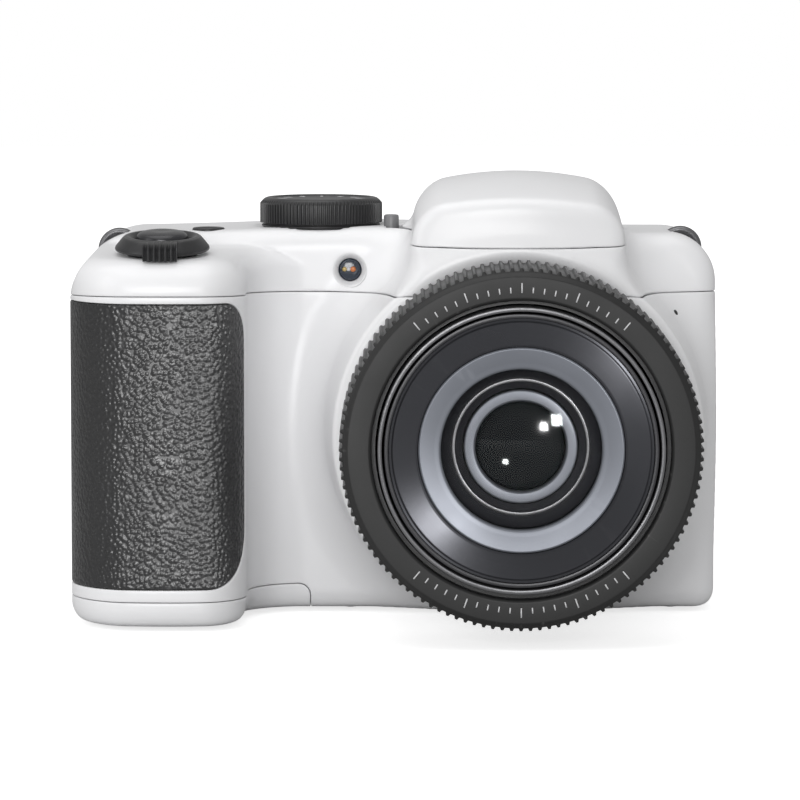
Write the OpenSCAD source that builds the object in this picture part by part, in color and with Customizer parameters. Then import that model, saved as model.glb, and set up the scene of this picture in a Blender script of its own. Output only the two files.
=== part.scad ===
// Bridge camera with a fixed zoom lens, a deep grip on four AA cells and a pop-up flash.
// Front faces -Y, the grip is at -X, +Z is up. Millimetres.

/* [Body] */
// Width from end to end
body_w = 118; // [116:1:124]
// Height of the top plate
body_h = 70; // [69:0.5:74]
// Depth of the slab behind the lens
slab_d = 32; // [31:0.5:36]
// How far the lens rim stands ahead of the slab
lens_reach = 51.5; // [48:0.5:54]
// How far the rear keys stand out of the rear wall
key_proud = 1.5; // [1.2:0.1:2]
// Thickness of the moulded walls
wall = 2.2; // [1.8:0.1:2.4]
// Rounding of the slab's front and rear edges
edge_r = 4; // [3.6:0.1:5]
// Radius of the shoulder over the grip
grip_shoulder_r = 12; // [9:0.5:13]
// Radius of the shoulder at the lens end
lens_shoulder_r = 9; // [7:0.5:11]
// Radius of the two lower corners
foot_r = 4; // [3.6:0.1:5]
// Height of the top cover's seam at the slab front
seam_z = 59.3; // [58.5:0.1:61]
// Slope of that seam, rising to the front
seam_tilt = 2; // [0:0.5:4]
// Depth of the rear cover
rear_d = 11; // [10:0.5:11.5]
// Width of the parting lines
parting = 0.1; // [0.05:0.05:0.2]

/* [Grip] */
// Width of the grip
grip_w = 32; // [31.5:0.5:34]
// How far the grip stands ahead of the slab
grip_reach = 27.4; // [26:0.2:30]
// Corner radius at the outer end
grip_outer_r = 11; // [9:0.5:12]
// Corner radius at the finger side
grip_finger_r = 8; // [6:0.5:9]
// Height of the grip's front crown
grip_crown_z = 67.4; // [66.4:0.2:68]
// Rounding of the crown
grip_crown_r = 6.5; // [5:0.5:7.5]
// Radius of the hollow between grip and slab
grip_hollow_r = 11; // [8:0.5:12]
// Thickness of the rubber pad
pad_t = 1; // [0.8:0.1:1.2]
// Lower edge of the pad
pad_z0 = 7.4; // [7:0.2:10]
// Upper edge of the pad
pad_z1 = 59; // [55:0.2:59]
// How far the pad runs back along the side
pad_back = 20; // [14:0.5:24]

/* [Battery bay] */
// Radius of an AA cell
cell_r = 7.25; // [7.2:0.05:7.3]
// Length of an AA cell without its button
cell_l = 49; // [48:0.1:49.2]
// Play between a cell and its bay
cell_play = 0.15; // [0.1:0.05:0.2]
// Wall between two cells
cell_web = 0.2; // [0.2:0.05:0.3]
// Height of the battery door
door_h = 5.2; // [5:0.1:6]
// Length of the battery door along X
door_l = 43.2; // [42.5:0.1:45]
// Gap round the battery door
door_gap = 0.35; // [0.3:0.05:0.5]
// Radius of the door's knuckles
knuckle_r = 1.5; // [1.3:0.1:1.6]
// Radius of the door's hinge pin
door_pin_r = 0.7; // [0.5:0.1:0.8]

/* [Lens] */
// Lens axis, sideways from the middle
lens_x = 22; // [20:0.5:22.5]
// Lens axis, height
lens_z = 35.1; // [34.5:0.1:35.5]
// Radius over the knurled ring
ring_r = 31.9; // [31:0.1:32.4]
// Depth of the knurled ring
ring_d = 24; // [20:0.5:25]
// Dark gap between the ring's lip and the outer barrel
rim_gap = 1; // [0.8:0.1:1.8]
// Teeth round the knurled ring
ring_teeth = 120; // [60:4:160]
// Thickness of the ring round the fixed tube
ring_wall = 3.3; // [3.1:0.1:3.7]
// Thickness of the fixed tube round the outer barrel
tube_wall = 3.4; // [3.2:0.1:3.8]
// Wall of the zoom barrels
barrel_wall = 0.8; // [0.6:0.1:1]
// Gap between barrels that slide in one another
barrel_gap = 0.35; // [0.3:0.05:0.5]
// How far each barrel runs out
barrel_run = 18; // [14:1:20]
// Length of the outer barrel that stays in its guide when it is run out
barrel_stay = 28; // [26:0.5:29]
// Outer radius of the grey retaining ring
grey_r = 18.1; // [17:0.1:19]
// Radius of the front glass that shows
glass_r = 14.1; // [13:0.1:15]
// Outer radius of the inner cell's ring
inner_r = 10; // [9:0.1:11]
// Radius of the inner cell's glass
inner_glass_r = 8; // [7:0.1:8.5]
// How deep the inner cell lies behind the rim
inner_depth = 8; // [7:0.2:10]
// How far the white shroud behind the ring stands outside it
shroud_step = 1.5; // [0.7:0.1:1.9]
// How far the shroud widens towards the slab
shroud_flare = 3; // [1.6:0.1:3.4]

/* [Zoom drive] */
// Tooth size of the zoom gears
gear_module = 0.6; // [0.5:0.1:0.6]
// How far the gear's pitch circle stands outside the cam ring
gear_rise = 2.1; // [1.9:0.1:2.2]
// Teeth on the motor's pinion
pinion_teeth = 10; // [8:2:12]
// Direction from the lens axis to the motor
motor_angle = 145; // [130:5:150]
// Radius of the zoom motor
motor_r = 4; // [3:0.5:5]

/* [Flash] */
// Rise of the hump over the top plate
hump_h = 11.6; // [10:0.2:12]
// Half width of the hump at its foot
hump_half = 20.6; // [20:0.1:21]
// How far the brow stands ahead of the slab
brow_reach = 28.4; // [24:0.2:28.8]
// Drop of the brow's lip below the top plate
brow_drop = 1.1; // [0.6:0.1:1.2]
// Rise of the seam under the flash lid, front to rear
lid_tilt = 4.1; // [3:0.1:5]
// Distance of the flash hinge from the rear wall
hinge_back = 12.5; // [10:0.5:14]
// Height of the flash hinge over the top plate
hinge_rise = 3; // [2.8:0.1:3.4]
// Radius of the flash hinge pin
flash_pin_r = 1; // [0.8:0.1:1.2]
// Angle of the flash window under the lid
flash_angle = 45; // [35:1:50]
// Width of the flash window
flash_w = 24; // [18:1:26]

/* [Controls] */
// Radius of the mode dial
dial_r = 11.4; // [9:0.1:12]
// Height of the mode dial
dial_h = 5.6; // [5:0.1:7]
// Teeth round the mode dial
dial_teeth = 48; // [24:2:60]
// Radius of the zoom lever
lever_r = 8.6; // [7.6:0.1:9]
// Radius of the shutter button
shutter_r = 4.7; // [4:0.1:4.8]
// Slope of the lever's seat
lever_tilt = 6; // [4:1:9]
// Gap between a key and its hole
key_gap = 0.3; // [0.25:0.05:0.4]
// Travel of a rear key
key_run = 0.6; // [0.4:0.1:0.7]
// Radius of a round key
key_r = 3.4; // [2.6:0.1:3.8]
// Radius of the four-way pad
pad_key_r = 10; // [8:0.1:10.5]
// Radius of the OK button
ok_r = 4.2; // [3.5:0.1:4.5]

/* [Screen and fittings] */
// Width of the screen window
screen_w = 68; // [60:1:70]
// Height of the screen window
screen_h = 49; // [44:0.5:50]
// Radius of the tripod thread's core
tripod_r = 2.6; // [2.5:0.05:2.7]
// Depth of the tripod thread
tripod_l = 6; // [5:0.5:7]
// Radius of a strap lug's eye
lug_eye_r = 2.3; // [2:0.1:2.5]
// Thickness of a strap lug
lug_t = 2.4; // [2:0.1:3]
// Height of the port flap
flap_h = 20; // [16:1:24]
// Width of the port flap
flap_w = 12; // [10:1:13]

/* [Hidden] */
$fn = 64;
soft_fn = 32;
eps = 0.01;
far = 200;
fit = 0.05;

// Places along Y
total_d = key_proud + slab_d + lens_reach;
rim_y = -total_d / 2;
slab_y0 = rim_y + lens_reach;
slab_y1 = slab_y0 + slab_d;
key_y = slab_y1 + key_proud;
rear_y = slab_y1 - rear_d;
in_y0 = slab_y0 + wall;
in_y1 = slab_y1 - wall;
grip_y0 = slab_y0 - grip_reach;
corner_z0 = 0.5;

// Places along X
left = -body_w / 2;
right = body_w / 2;
grip_x1 = left + grip_w;
door_x1 = left + door_l;
in_x0 = left + wall;
in_x1 = right - wall;

// Battery bay
bay_r = cell_r + cell_play;
cell_pitch = 2 * bay_r + cell_web;
cell_x0 = in_x0 + bay_r + cell_play;
cell_y0 = in_y0 - 1.2;
cell_z0 = door_h + 1.4;
cell_z1 = cell_z0 + cell_l;
button_h = 1.2;
button_r = 2.7;
contact_r = 4;
contact_t = 0.25;
spring_r0 = 4.6;
spring_r1 = 2.4;
spring_foot_t = 0.5;
bay_z1 = cell_z1 + button_h + 0.3;
box_z1 = bay_z1 + 1;
box_x0 = cell_x0 - bay_r + 1.6;
box_x1 = cell_x0 + cell_pitch + bay_r + 1.3;
box_y0 = cell_y0 - 3.5;
box_y1 = cell_y0 + cell_pitch + bay_r + 1.3;
hinge_x = door_x1 - knuckle_r - 0.1;
hinge_z = knuckle_r + 0.1;
ear_l = 2.4;
ear_y = [in_y0 + 1, in_y1 - 1 - ear_l];

// Memory card, standing beside the cells
card_t = 2.1;
card_w = 24;
card_l = 32;
card_proud = 1;
card_x0 = box_x1 + 1.4;
card_y0 = in_y0 + 1.4;
card_z0 = door_h + 1;

// Lens stack, front to rear
ring_y0 = rim_y + 0.5;
ring_y1 = ring_y0 + ring_d;
lip_d = 3.2;
ring_face_d = 2.2;
ring_tooth = 0.6;
tube_y0 = ring_y0 + lip_d;
flange_t = 1.8;
flange_y1 = in_y0 + flange_t;
tube_r = ring_r - ring_wall;
barrel_r = tube_r - tube_wall;
ring_lip_r = barrel_r + rim_gap;
shroud_r = ring_r + shroud_step;
shroud_foot_r = shroud_r + shroud_flare;
tube_bore = barrel_r + barrel_gap;
cam_r = tube_r - 1.3;
cam_teeth = 2 * round((cam_r + gear_rise) / gear_module);
cam_y0 = ring_y1 + 2;
gear_t = 2.6;
gear_y0 = flange_y1 + 0.4;
gear_y1 = gear_y0 + gear_t;
base_y0 = gear_y1 + 0.4;
base_t = 2;
base_y1 = base_y0 + base_t;
cam_pitch_r = gear_module * cam_teeth / 2;
pinion_pitch_r = gear_module * pinion_teeth / 2;
pinion_reach = cam_pitch_r + pinion_pitch_r + 0.05;
rim_wall_r0 = cam_pitch_r + gear_module + 0.5;
flange_r = rim_wall_r0 + 1.2;
inner_barrel_r = barrel_r - barrel_wall - barrel_gap;
barrel_l = barrel_run + barrel_stay;
inner_barrel_l = barrel_l - 4;
cone_r = inner_barrel_r - barrel_wall;
cone_y = rim_y + 1.3;
glass_y = rim_y + 2.4;
inner_y = rim_y + inner_depth;
iris_y = rim_y + inner_depth + 10;
shroud_y0 = ring_y1 + 0.2;

// Boards and plates
sensor_half = [5, 4];
sensor_t = 1.2;
sensor_play = 0.2;
sensor_board_half = [14, 12];
sensor_board_t = 1.2;
motor_l = 11;
shaft_r = 1;
chassis_y0 = base_y1 + sensor_board_t + 0.6;
chassis_t = 1;
chassis_foot_half = 3;
post_r = 1.5;
board_y0 = chassis_y0 + chassis_t + 1.5;
board_t = 1.4;
board_x0 = lens_x - shroud_foot_r;
door_room_x = door_x1 + 1.2;
key_collar = 1.2;
key_brim = 0.9;
key_top = key_y - 0.7;
key_board_y1 = in_y1 - key_collar - key_run - 0.1;
key_board_t = 1;
screen_x0 = right - 5 - screen_w;
screen_z0 = 5.4;
screen_t = 1.3;

// Top controls
lever_c = [left + 16.8, grip_y0 + 13.4, body_h - 2.2];
lever_h = 2.5;
dial_c = [left + 45.1, slab_y0 + 14];
release_c = [lens_x - hump_half - 2.2, slab_y0 + 6];
release_r = 1.4;
release_h = 3.2;
release_l = 3.4;
stem_hole_d = 6;
dial_rise = 0.4;
dial_tooth = 0.4;
dial_stem_r = 3;
dial_stem_l = 4;
dial_cap_in = 0.9;
dial_cap_t = 1.1;
lever_rise = 0.3;
lever_collar_r = shutter_r + 1.5;
lever_collar_l = 2.6;
shutter_play = 0.4;
shutter_l = 2.4;
shutter_top = 3.8;
shutter_dome_r = 20;
tab_w = 6.4;
tab_l = 4;
tab_out = 1.7;
tab_rib_w = 0.8;
tab_rib_pitch = 1.3;
tab_rib_out = 0.5;
power_c = [left + 24.4, slab_y0 + 6];
power_r = key_r - 0.4;
power_l = 8;
power_proud = 0.8;
lamp_c = [left + 50.6, seam_z + 3.9];
lamp_r = 2.1;
bezel_r = 3.4;
bezel_in_r = 2.2;
lamp_y1 = in_y0 + 0.6;
mic_c = [right - 7.7, seam_z - 3.5];
mic_r = 0.6;
lug_r = lug_eye_r + 1.7;
lug_y = slab_y0 + 13;
lug_angle = 62;
lug_depth = 2.6;
lug_pocket_r = lug_eye_r + 0.6;
lug_pocket_l = 12;

// Flash lid
hinge_y = slab_y1 - hinge_back;
flash_hinge_z = body_h + hinge_rise;
brow_y = slab_y0 - brow_reach;
lip_z = body_h - brow_drop;
hump_r = 4;
lid_gap = 0.3;
lid_end_r = 3.5;
lid_knuckle_r = 1.9;
lid_wall = 1.8;
flash_c = [lens_x, brow_y + 17.4, body_h + 3.7];
flash_half = 4;
flash_t = 1.2;
flash_ear_x = 6;
flash_ear_half = 1.5;
ear_play = 0.4;
lid_arm_x = 10.6;
lid_arm_half = 2.2;
pin_half = lid_arm_x + 2;
scoop_r = 15.2;
scoop_c = [brow_y - 14, body_h + 4.6];
boss_half = 5;
boss_d = 3;
reflector_neck = 1.6;
reflector_t = 0.6;
flash_tube_r = 1;
reflector_d = 3.8;
capacitor_r = 4;
capacitor_z0 = 12;
capacitor_z1 = 46;
capacitor_y = cell_y0 - sqrt(pow(cell_r + capacitor_r + 0.3, 2) - pow(cell_pitch / 2, 2));

// Rear keys, as [x, z]
pad_c = [left + 22, 26];
menu_c = [left + 29.5, 45];
play_c = [left + 17, 45];
trash_c = [left + 29.5, 11];
help_c = [left + 14.5, 11];
record_c = [left + 36.4, 53];

// Fittings
bush_c = [lens_x, slab_y0 + 15.6];
bush_r = 5;
screw_x0 = door_x1 + 7.4;
screw_spots = [[screw_x0, in_y0 + 3], [right - 8, in_y0 + 3],
               [screw_x0, rear_y + 5], [right - 8, rear_y + 5]];
screw_head_r = 1.5;
screw_head_z0 = 0.3;
screw_head_z1 = 1.2;
screw_r = 0.8;
screw_l = 2;
bush_collar = 1.2;
bush_room = 8;
flap_y0 = slab_y0 + 4.5;
flap_z0 = 22;
flap_t = 1.4;
flap_gap = 0.35;
port_x0 = in_x1 - 2.6;
port_c = [flap_y0 + flap_w / 2, flap_z0 + flap_h / 2];
port_half = [1.6, 4];
port_shell = 0.4;
pocket_wall = 1.5;
thumb_x0 = left + 5;
thumb_w = 6;
thumb_z0 = 36;
thumb_z1 = 54;
thumb_t = 0.9;

white = "whitesmoke";
black = [0.16, 0.16, 0.17];
rubber = [0.2, 0.2, 0.21];
metal = "silver";
brass = "goldenrod";
board_green = "darkgreen";
clear = [0.75, 0.85, 0.9, 0.5];

// A box between two corners
module box(lo, hi) translate(lo) cube(hi - lo);

// Round bars along each axis
module rod_x(c, r, x0, x1) translate([x0, c[0], c[1]]) rotate([0, 90, 0]) cylinder(r = r, h = x1 - x0);
module rod_y(c, r, y0, y1) translate([c[0], y1, c[1]]) rotate([90, 0, 0]) cylinder(r = r, h = y1 - y0);
module rod_z(c, r, z0, z1) translate([c[0], c[1], z0]) cylinder(r = r, h = z1 - z0);

// A turned shape about an axis along Y; its outline is [radius, y]
module turned(c, outline) translate([c[0], 0, c[1]]) rotate([-90, 0, 0]) rotate_extrude() polygon(outline);
module lens_turned(outline) turned([lens_x, lens_z], outline);
module lens_rod(r, y0, y1) rod_y([lens_x, lens_z], r, y0, y1);
module lens_block(half, y0, y1)
  box([lens_x - half[0], y0, lens_z - half[1]], [lens_x + half[0], y1, lens_z + half[1]]);
module lens_sleeve(r_out, r_in, y0, y1)
  difference() {
    lens_rod(r_out, y0, y1);
    lens_rod(r_in, y0 - 1, y1 + 1);
  }

// Outline of a round bar with rounded ends, as [radius, length]
function arc(c, r, a0, a1, n = 4) =
  [for (i = [0:n]) let (a = a0 + (a1 - a0) * i / n) c + r * [cos(a), sin(a)]];
function pill(r, l, e0, e1) =
  concat([[0, 0]], arc([r - e0, e0], e0, -90, 0), arc([r - e1, l - e1], e1, 0, 90), [[0, l]]);
module pill_y(c, r, y0, y1, e)
  translate([c[0], y0, c[1]]) rotate([-90, 0, 0]) rotate_extrude($fn = soft_fn)
    polygon(pill(r, y1 - y0, e, e));
module pill_z(c, r, z0, z1, e0, e1)
  translate([c[0], c[1], z0]) rotate_extrude($fn = soft_fn) polygon(pill(r, z1 - z0, e0, e1));

// A ring of straight-sided teeth, with a gap at angle zero
function teeth(n, r0, r1, root, tip) =
  [for (i = [0:n - 1], k = [[r0, -root], [r1, -tip], [r1, tip], [r0, root]])
    k[0] * [cos((i + 0.5 + k[1]) * 360 / n), sin((i + 0.5 + k[1]) * 360 / n)]];

// The slab behind the lens, taken in by an inset
module slab(inset = 0)
  hull() {
    e = max(edge_r - inset, 1);
    y0 = slab_y0 + inset;
    y1 = slab_y1 - inset;
    pill_y([left + grip_shoulder_r, body_h - grip_shoulder_r], grip_shoulder_r - inset, y0, y1, e);
    pill_y([right - lens_shoulder_r, body_h - lens_shoulder_r], lens_shoulder_r - inset, y0, y1, e);
    pill_y([left + foot_r, foot_r], foot_r - inset, y0, y1, min(e, foot_r - inset - 0.2));
    pill_y([right - foot_r, foot_r], foot_r - inset, y0, y1, min(e, foot_r - inset - 0.2));
  }

// The grip, taken in by an inset; its sides lie a fit inside the slab's, so that no two faces coincide
module grip(inset = 0)
  hull() {
    e = max(foot_r - inset, 1);
    crown = max(grip_crown_r - inset, 1);
    root_y = slab_y0 + grip_outer_r;
    outer_x = left + fit + grip_outer_r;
    finger_x = grip_x1 - grip_finger_r;
    z0 = fit + inset;
    z1 = grip_crown_z - inset;
    pill_z([outer_x, grip_y0 + grip_outer_r], grip_outer_r - inset, z0, z1, e, crown);
    pill_z([finger_x, grip_y0 + grip_finger_r], grip_finger_r - inset, z0, z1, e,
           min(crown, grip_finger_r - inset - 0.2));
    pill_z([outer_x, root_y], grip_outer_r - inset, z0, z1, e, crown);
    pill_z([finger_x, root_y], grip_finger_r - inset, z0, z1, e, e);
    pill_y([left + grip_shoulder_r, body_h - grip_shoulder_r], grip_shoulder_r - inset - fit,
           slab_y0 - edge_r, root_y, edge_r);
    pill_y([finger_x, body_h - grip_finger_r], grip_finger_r - inset - fit, slab_y0 - edge_r, root_y, edge_r);
  }

// The hollow corner where the fingers lie, between grip and slab
module finger_corner()
  translate([0, 0, corner_z0]) linear_extrude(body_h - grip_finger_r - corner_z0)
    polygon(concat([[grip_x1 - wall - 1, slab_y0 + wall], [grip_x1 - wall - 1, slab_y0 - grip_hollow_r]],
                   arc([grip_x1 - 0.6 + grip_hollow_r, slab_y0 + 0.5 - grip_hollow_r], grip_hollow_r,
                       180, 90, 6),
                   [[grip_x1 + grip_hollow_r, slab_y0 + wall]]));

// The shroud: a flared wall round the lens tube
function flare(inset) = [for (i = [0:5]) let (t = i / 5)
  [shroud_r - inset + (shroud_foot_r - shroud_r) * t * t, shroud_y0 + (slab_y0 + 1 - shroud_y0) * t]];
module shroud_solid()
  intersection() {
    lens_turned(concat([[0, shroud_y0]], flare(0), [[0, slab_y0 + 1]]));
    box([left, shroud_y0 - 1, foot_r / 5], [right - 0.4, slab_y0 + 2, body_h]);
  }
module shroud_hollow() lens_turned(concat([[0, shroud_y0 + wall]],
  [for (p = flare(wall)) [p[0], p[1] + wall]], [[0, slab_y0 + 1 + wall]]));

// The hump over the lens
module hump(inset = 0)
  hull() {
    // Balls at one side as [in from the side, y, z], from the lip over the crown to the tail
    side_balls = [[4, brow_y + 4.5, lip_z + 1.5], [6.4, brow_y + 7, body_h + hump_h * 0.66 - 4],
                  [8.6, brow_y + 24, body_h + hump_h - 4.2], [8, brow_y + 36, body_h + hump_h - 5],
                  [5, slab_y1 - 6, body_h], [4, slab_y0, body_h]];
    for (side = [-1, 1], b = side_balls)
      translate([lens_x + side * (hump_half - b[0]), b[1], b[2]]) sphere(hump_r - inset, $fn = soft_fn);
    translate([lens_x, brow_y + 27, body_h + hump_h - hump_r]) sphere(hump_r - inset, $fn = soft_fn);
  }

// The part of the hump that lifts with the flash, grown by a gap, and the room its end needs to swing down
module lid_zone(gap, swing) {
  difference() {
    translate([0, brow_y, lip_z - gap]) rotate([lid_tilt, 0, 0])
      box([lens_x - far, -far, 0], [lens_x + far, far, far]);
    box([lens_x - far, hinge_y, 0], [lens_x + far, far, far]);
  }
  rod_x([hinge_y, flash_hinge_z], lid_knuckle_r + gap, lens_x - far, lens_x + far);
  intersection() {
    rod_x([hinge_y, flash_hinge_z], lid_end_r + gap, lens_x - far, lens_x + far);
    box([lens_x - far, hinge_y - far, flash_hinge_z - swing], [lens_x + far, far, far]);
  }
}

// Local frame of a strap lug, on the shoulder's slope with +X outwards
module each_lug() {
  translate([left + grip_shoulder_r, lug_y, body_h - grip_shoulder_r]) rotate([0, lug_angle - 180, 0])
    translate([grip_shoulder_r - lug_depth, 0, 0]) children();
  translate([right - lens_shoulder_r, lug_y, body_h - lens_shoulder_r]) rotate([0, -lug_angle, 0])
    translate([lens_shoulder_r - lug_depth, 0, 0]) children();
}
module lug_boss() each_lug()
  rod_y([0, 0], lug_pocket_r + wall, -lug_pocket_l / 2 - wall, lug_pocket_l / 2 + wall);
module lug_pocket() each_lug() {
  rod_y([0, 0], lug_pocket_r, -lug_pocket_l / 2, lug_pocket_l / 2);
  box([0, -lug_pocket_l / 2, -lug_pocket_r], [lug_depth * 3, lug_pocket_l / 2, lug_pocket_r]);
  rod_y([0, 0], lug_r + fit, -lug_t / 2 - fit, lug_t / 2 + fit);
}

// Everything above the top cover's seam
module above_seam(gap)
  translate([0, slab_y0, seam_z + gap]) rotate([-seam_tilt, 0, 0]) box([-far, -far, 0], [far, far, far]);

// Outer form and inner space of the moulded covers
module body_form() {
  slab();
  grip();
  finger_corner();
  shroud_solid();
}
module grip_space() intersection() {
  grip(wall);
  box([left, grip_y0, wall], [grip_x1, in_y0 + 4, body_h]);
}
module lens_hole() {
  lens_rod(tube_r + 0.4, ring_y1 - 1, in_y0 + 1);
  shroud_hollow();
}

// Where the rubber pad lies
module pad_zone(gap)
  box([left - 1, grip_y0 - 1, pad_z0 - gap], [grip_x1 + 2, grip_y0 + pad_back + gap, pad_z1 + gap]);

// Where the battery door lies, with its end rounded about the hinge, and the room it needs to swing
module door_zone() {
  box([left - 1, grip_y0 - 1, -1], [hinge_x, slab_y1 + 1, door_h]);
  box([hinge_x - 1, grip_y0 - 1, hinge_z], [door_x1, slab_y1 + 1, door_h]);
  rod_y([hinge_x, hinge_z], door_x1 - hinge_x + fit, grip_y0 - 1, slab_y1 + 1);
}
module door_room() box([left - 1, grip_y0 - 1, -1], [door_x1 + door_gap, slab_y1 + 1, door_h + door_gap]);
module door_ears(gap) for (y = ear_y)
  union() {
    rod_y([hinge_x, hinge_z], knuckle_r + gap, y - gap, y + ear_l + gap);
    box([hinge_x, y - gap, hinge_z - gap], [door_room_x, y + ear_l + gap, hinge_z + knuckle_r + gap]);
  }

// Where the base screws go
module screw_holes(gap) for (p = screw_spots) {
  rod_z(p, screw_head_r + gap, -1, screw_head_z1 + gap);
  rod_z(p, screw_r + gap, 0, wall + screw_l + 1);
}

module flap_block(gap)
  box([right - flap_t - gap, flap_y0 - gap, flap_z0 - gap],
      [right + 1, flap_y0 + flap_w + gap, flap_z0 + flap_h + gap]);

// The port's metal shell, grown by a gap
module port_block(gap)
  box([port_x0 - port_shell, port_c[0] - port_half[0] - gap, port_c[1] - port_half[1] - gap],
      [port_x0 + 1.4 + gap, port_c[0] + port_half[0] + gap, port_c[1] + port_half[1] + gap]);

// Casings

module front_cover() color(white) difference() {
  union() {
    difference() {
      body_form();
      above_seam(-parting);
      box([left - 1, rear_y - parting, -1], [right + 1, far, far]);
      door_room();
      difference() {
        pad_zone(0);
        grip(pad_t);
      }
      box([in_x0, in_y0, wall], [in_x1, slab_y1, far]);
      grip_space();
      bay_block(cell_web);
      each_cell() cylinder(r = bay_r + cell_web, h = box_z1 + cell_web);
      lens_hole();
    }
    intersection() {
      door_ears(0);
      box([left, in_y0, 0], [right, rear_y - parting, far]);
    }
    // Pocket behind the port flap
    difference() {
      box([port_x0, flap_y0 - pocket_wall, flap_z0 - pocket_wall],
          [right - 1, flap_y0 + flap_w + pocket_wall, flap_z0 + flap_h + pocket_wall]);
      box([port_x0 + 1, flap_y0, flap_z0], [right, flap_y0 + flap_w, flap_z0 + flap_h]);
    }
  }
  rod_y([hinge_x, hinge_z], door_pin_r + fit, grip_y0, slab_y1);
  rod_y(mic_c, mic_r, slab_y0 - 1, in_y0 + 1);
  rod_z(bush_c, bush_r + fit, -1, wall + 1);
  screw_holes(0.2);
  flap_block(flap_gap);
  port_block(fit);
}

module top_cover() color(white) difference() {
  union() {
    intersection() {
      difference() {
        body_form();
        slab(wall);
        grip_space();
        lens_hole();
      }
      above_seam(0);
    }
    intersection() {
      lug_boss();
      slab();
    }
    // Fixed foot and tail of the hump
    difference() {
      hump();
      lid_zone(lid_gap, lid_end_r * 0.75);
      box([-far, -far, -far], [far, shroud_y0, far]);
      box([-far, -far, -far], [far, far, lens_z]);
      lens_rod(shroud_r - wall, ring_y1, slab_y0 + 1);
      box([-far, slab_y0, -far], [far, far, body_h - wall]);
    }
    // Ears of the flash hinge
    for (x = [lens_x - flash_ear_x, lens_x + flash_ear_x]) {
      rod_x([hinge_y, flash_hinge_z], lid_knuckle_r, x - flash_ear_half, x + flash_ear_half);
      box([x - flash_ear_half, hinge_y - lid_knuckle_r, body_h - 1],
          [x + flash_ear_half, hinge_y + lid_knuckle_r, flash_hinge_z]);
    }
  }
  flash_pin(flash_pin_r + fit, flash_ear_x + 2 * flash_ear_half);
  lever_place() {
    cylinder(r = lever_r + 0.8, h = 12);
    translate([0, 0, -8]) cylinder(r = lever_collar_r + key_gap, h = 10);
    translate([-lever_r, -lever_r - 5, 0]) cube([2 * lever_r, 8, 12]);
  }
  lug_pocket();
  rod_z(dial_c, dial_stem_r + fit, body_h - stem_hole_d, body_h + 1);
  rod_z(release_c, release_r + key_gap, body_h - stem_hole_d, body_h + 1);
  rod_z(power_c, power_r + key_gap, body_h - 2 * stem_hole_d, body_h + 1);
  rod_y(lamp_c, bezel_r + fit, slab_y0 - 1, in_y0 + 1);
}

module rear_cover() color(white) difference() {
  union() {
    difference() {
      slab();
      above_seam(-parting);
      box([left - 1, -far, -1], [right + 1, rear_y, far]);
      door_room();
      box([in_x0, slab_y0, wall], [in_x1, in_y1, far]);
    }
    intersection() {
      door_ears(0);
      box([left, rear_y, 0], [right, in_y1, far]);
    }
  }
  rod_y([hinge_x, hinge_z], door_pin_r + fit, rear_y - 1, in_y1 - 0.8);
  box([screen_x0, slab_y1 - screen_t + 0.3, screen_z0], [screen_x0 + screen_w, far, screen_z0 + screen_h]);
  box([screen_x0 + 2, in_y1 - 1, screen_z0 + 2], [screen_x0 + screen_w - 2, far, screen_z0 + screen_h - 2]);
  rod_y(pad_c, pad_key_r + key_gap, in_y1 - 1, far);
  for (c = [menu_c, play_c, trash_c, help_c, record_c]) rod_y(c, key_r + key_gap, in_y1 - 1, far);
  screw_holes(0.2);
}

module grip_pad() color(rubber) difference() {
  intersection() {
    grip();
    pad_zone(-parting);
  }
  grip(pad_t - parting);
}

module thumb_rest() color(rubber)
  box([thumb_x0, slab_y1, thumb_z0], [thumb_x0 + thumb_w, slab_y1 + thumb_t, thumb_z1]);

// Battery bay

module battery_door() color(white) difference() {
  intersection() {
    union() {
      slab();
      grip();
      finger_corner();
    }
    door_zone();
  }
  box([in_x0, cell_y0 - bay_r, wall], [grip_x1 - wall, in_y1, far]);
  box([in_x0, in_y0, wall], [hinge_x - knuckle_r - 2.5, in_y1, far]);
  door_ears(door_gap);
  rod_y([hinge_x, hinge_z], door_pin_r + fit, grip_y0, slab_y1);
}

module door_hinge_pin() color(metal) rod_y([hinge_x, hinge_z], door_pin_r, in_y0 + 0.5, in_y1 - 0.9);

module each_cell() for (i = [0, 1], j = [0, 1])
  translate([cell_x0 + i * cell_pitch, cell_y0 + j * cell_pitch, 0]) children();
module bay_block(gap)
  box([box_x0 - gap, box_y0 - gap, door_h + door_gap + 0.6], [box_x1 + gap, box_y1 + gap, box_z1 + gap]);

module battery_box() color(black) difference() {
  bay_block(0);
  each_cell() cylinder(r = bay_r, h = bay_z1);
}

module aa_cells() color("tan") each_cell() {
  translate([0, 0, cell_z0]) cylinder(r = cell_r, h = cell_l);
  translate([0, 0, cell_z1 - eps]) cylinder(r = button_r, h = button_h);
}

module cell_contacts() color(metal) each_cell()
  translate([0, 0, cell_z1 + button_h]) cylinder(r = contact_r, h = contact_t);

module door_contacts() color(brass) each_cell() {
  translate([0, 0, wall]) cylinder(r = spring_r0 + 0.2, h = spring_foot_t);
  translate([0, 0, wall + 0.4]) cylinder(r1 = spring_r0, r2 = spring_r1, h = cell_z0 - wall - 0.8);
}

// A slot for the memory card beside the cells, grown by a gap
module card_block(gap)
  box([card_x0 - gap, card_y0 - gap, card_z0],
      [card_x0 + card_t + gap, card_y0 + card_w + gap, card_z0 + card_l + gap]);

module card_socket() color(metal) difference() {
  translate([0, 0, card_proud]) card_block(0.9);
  card_block(0.1);
}

module memory_card() color("steelblue") card_block(0);

// Lens

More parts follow.
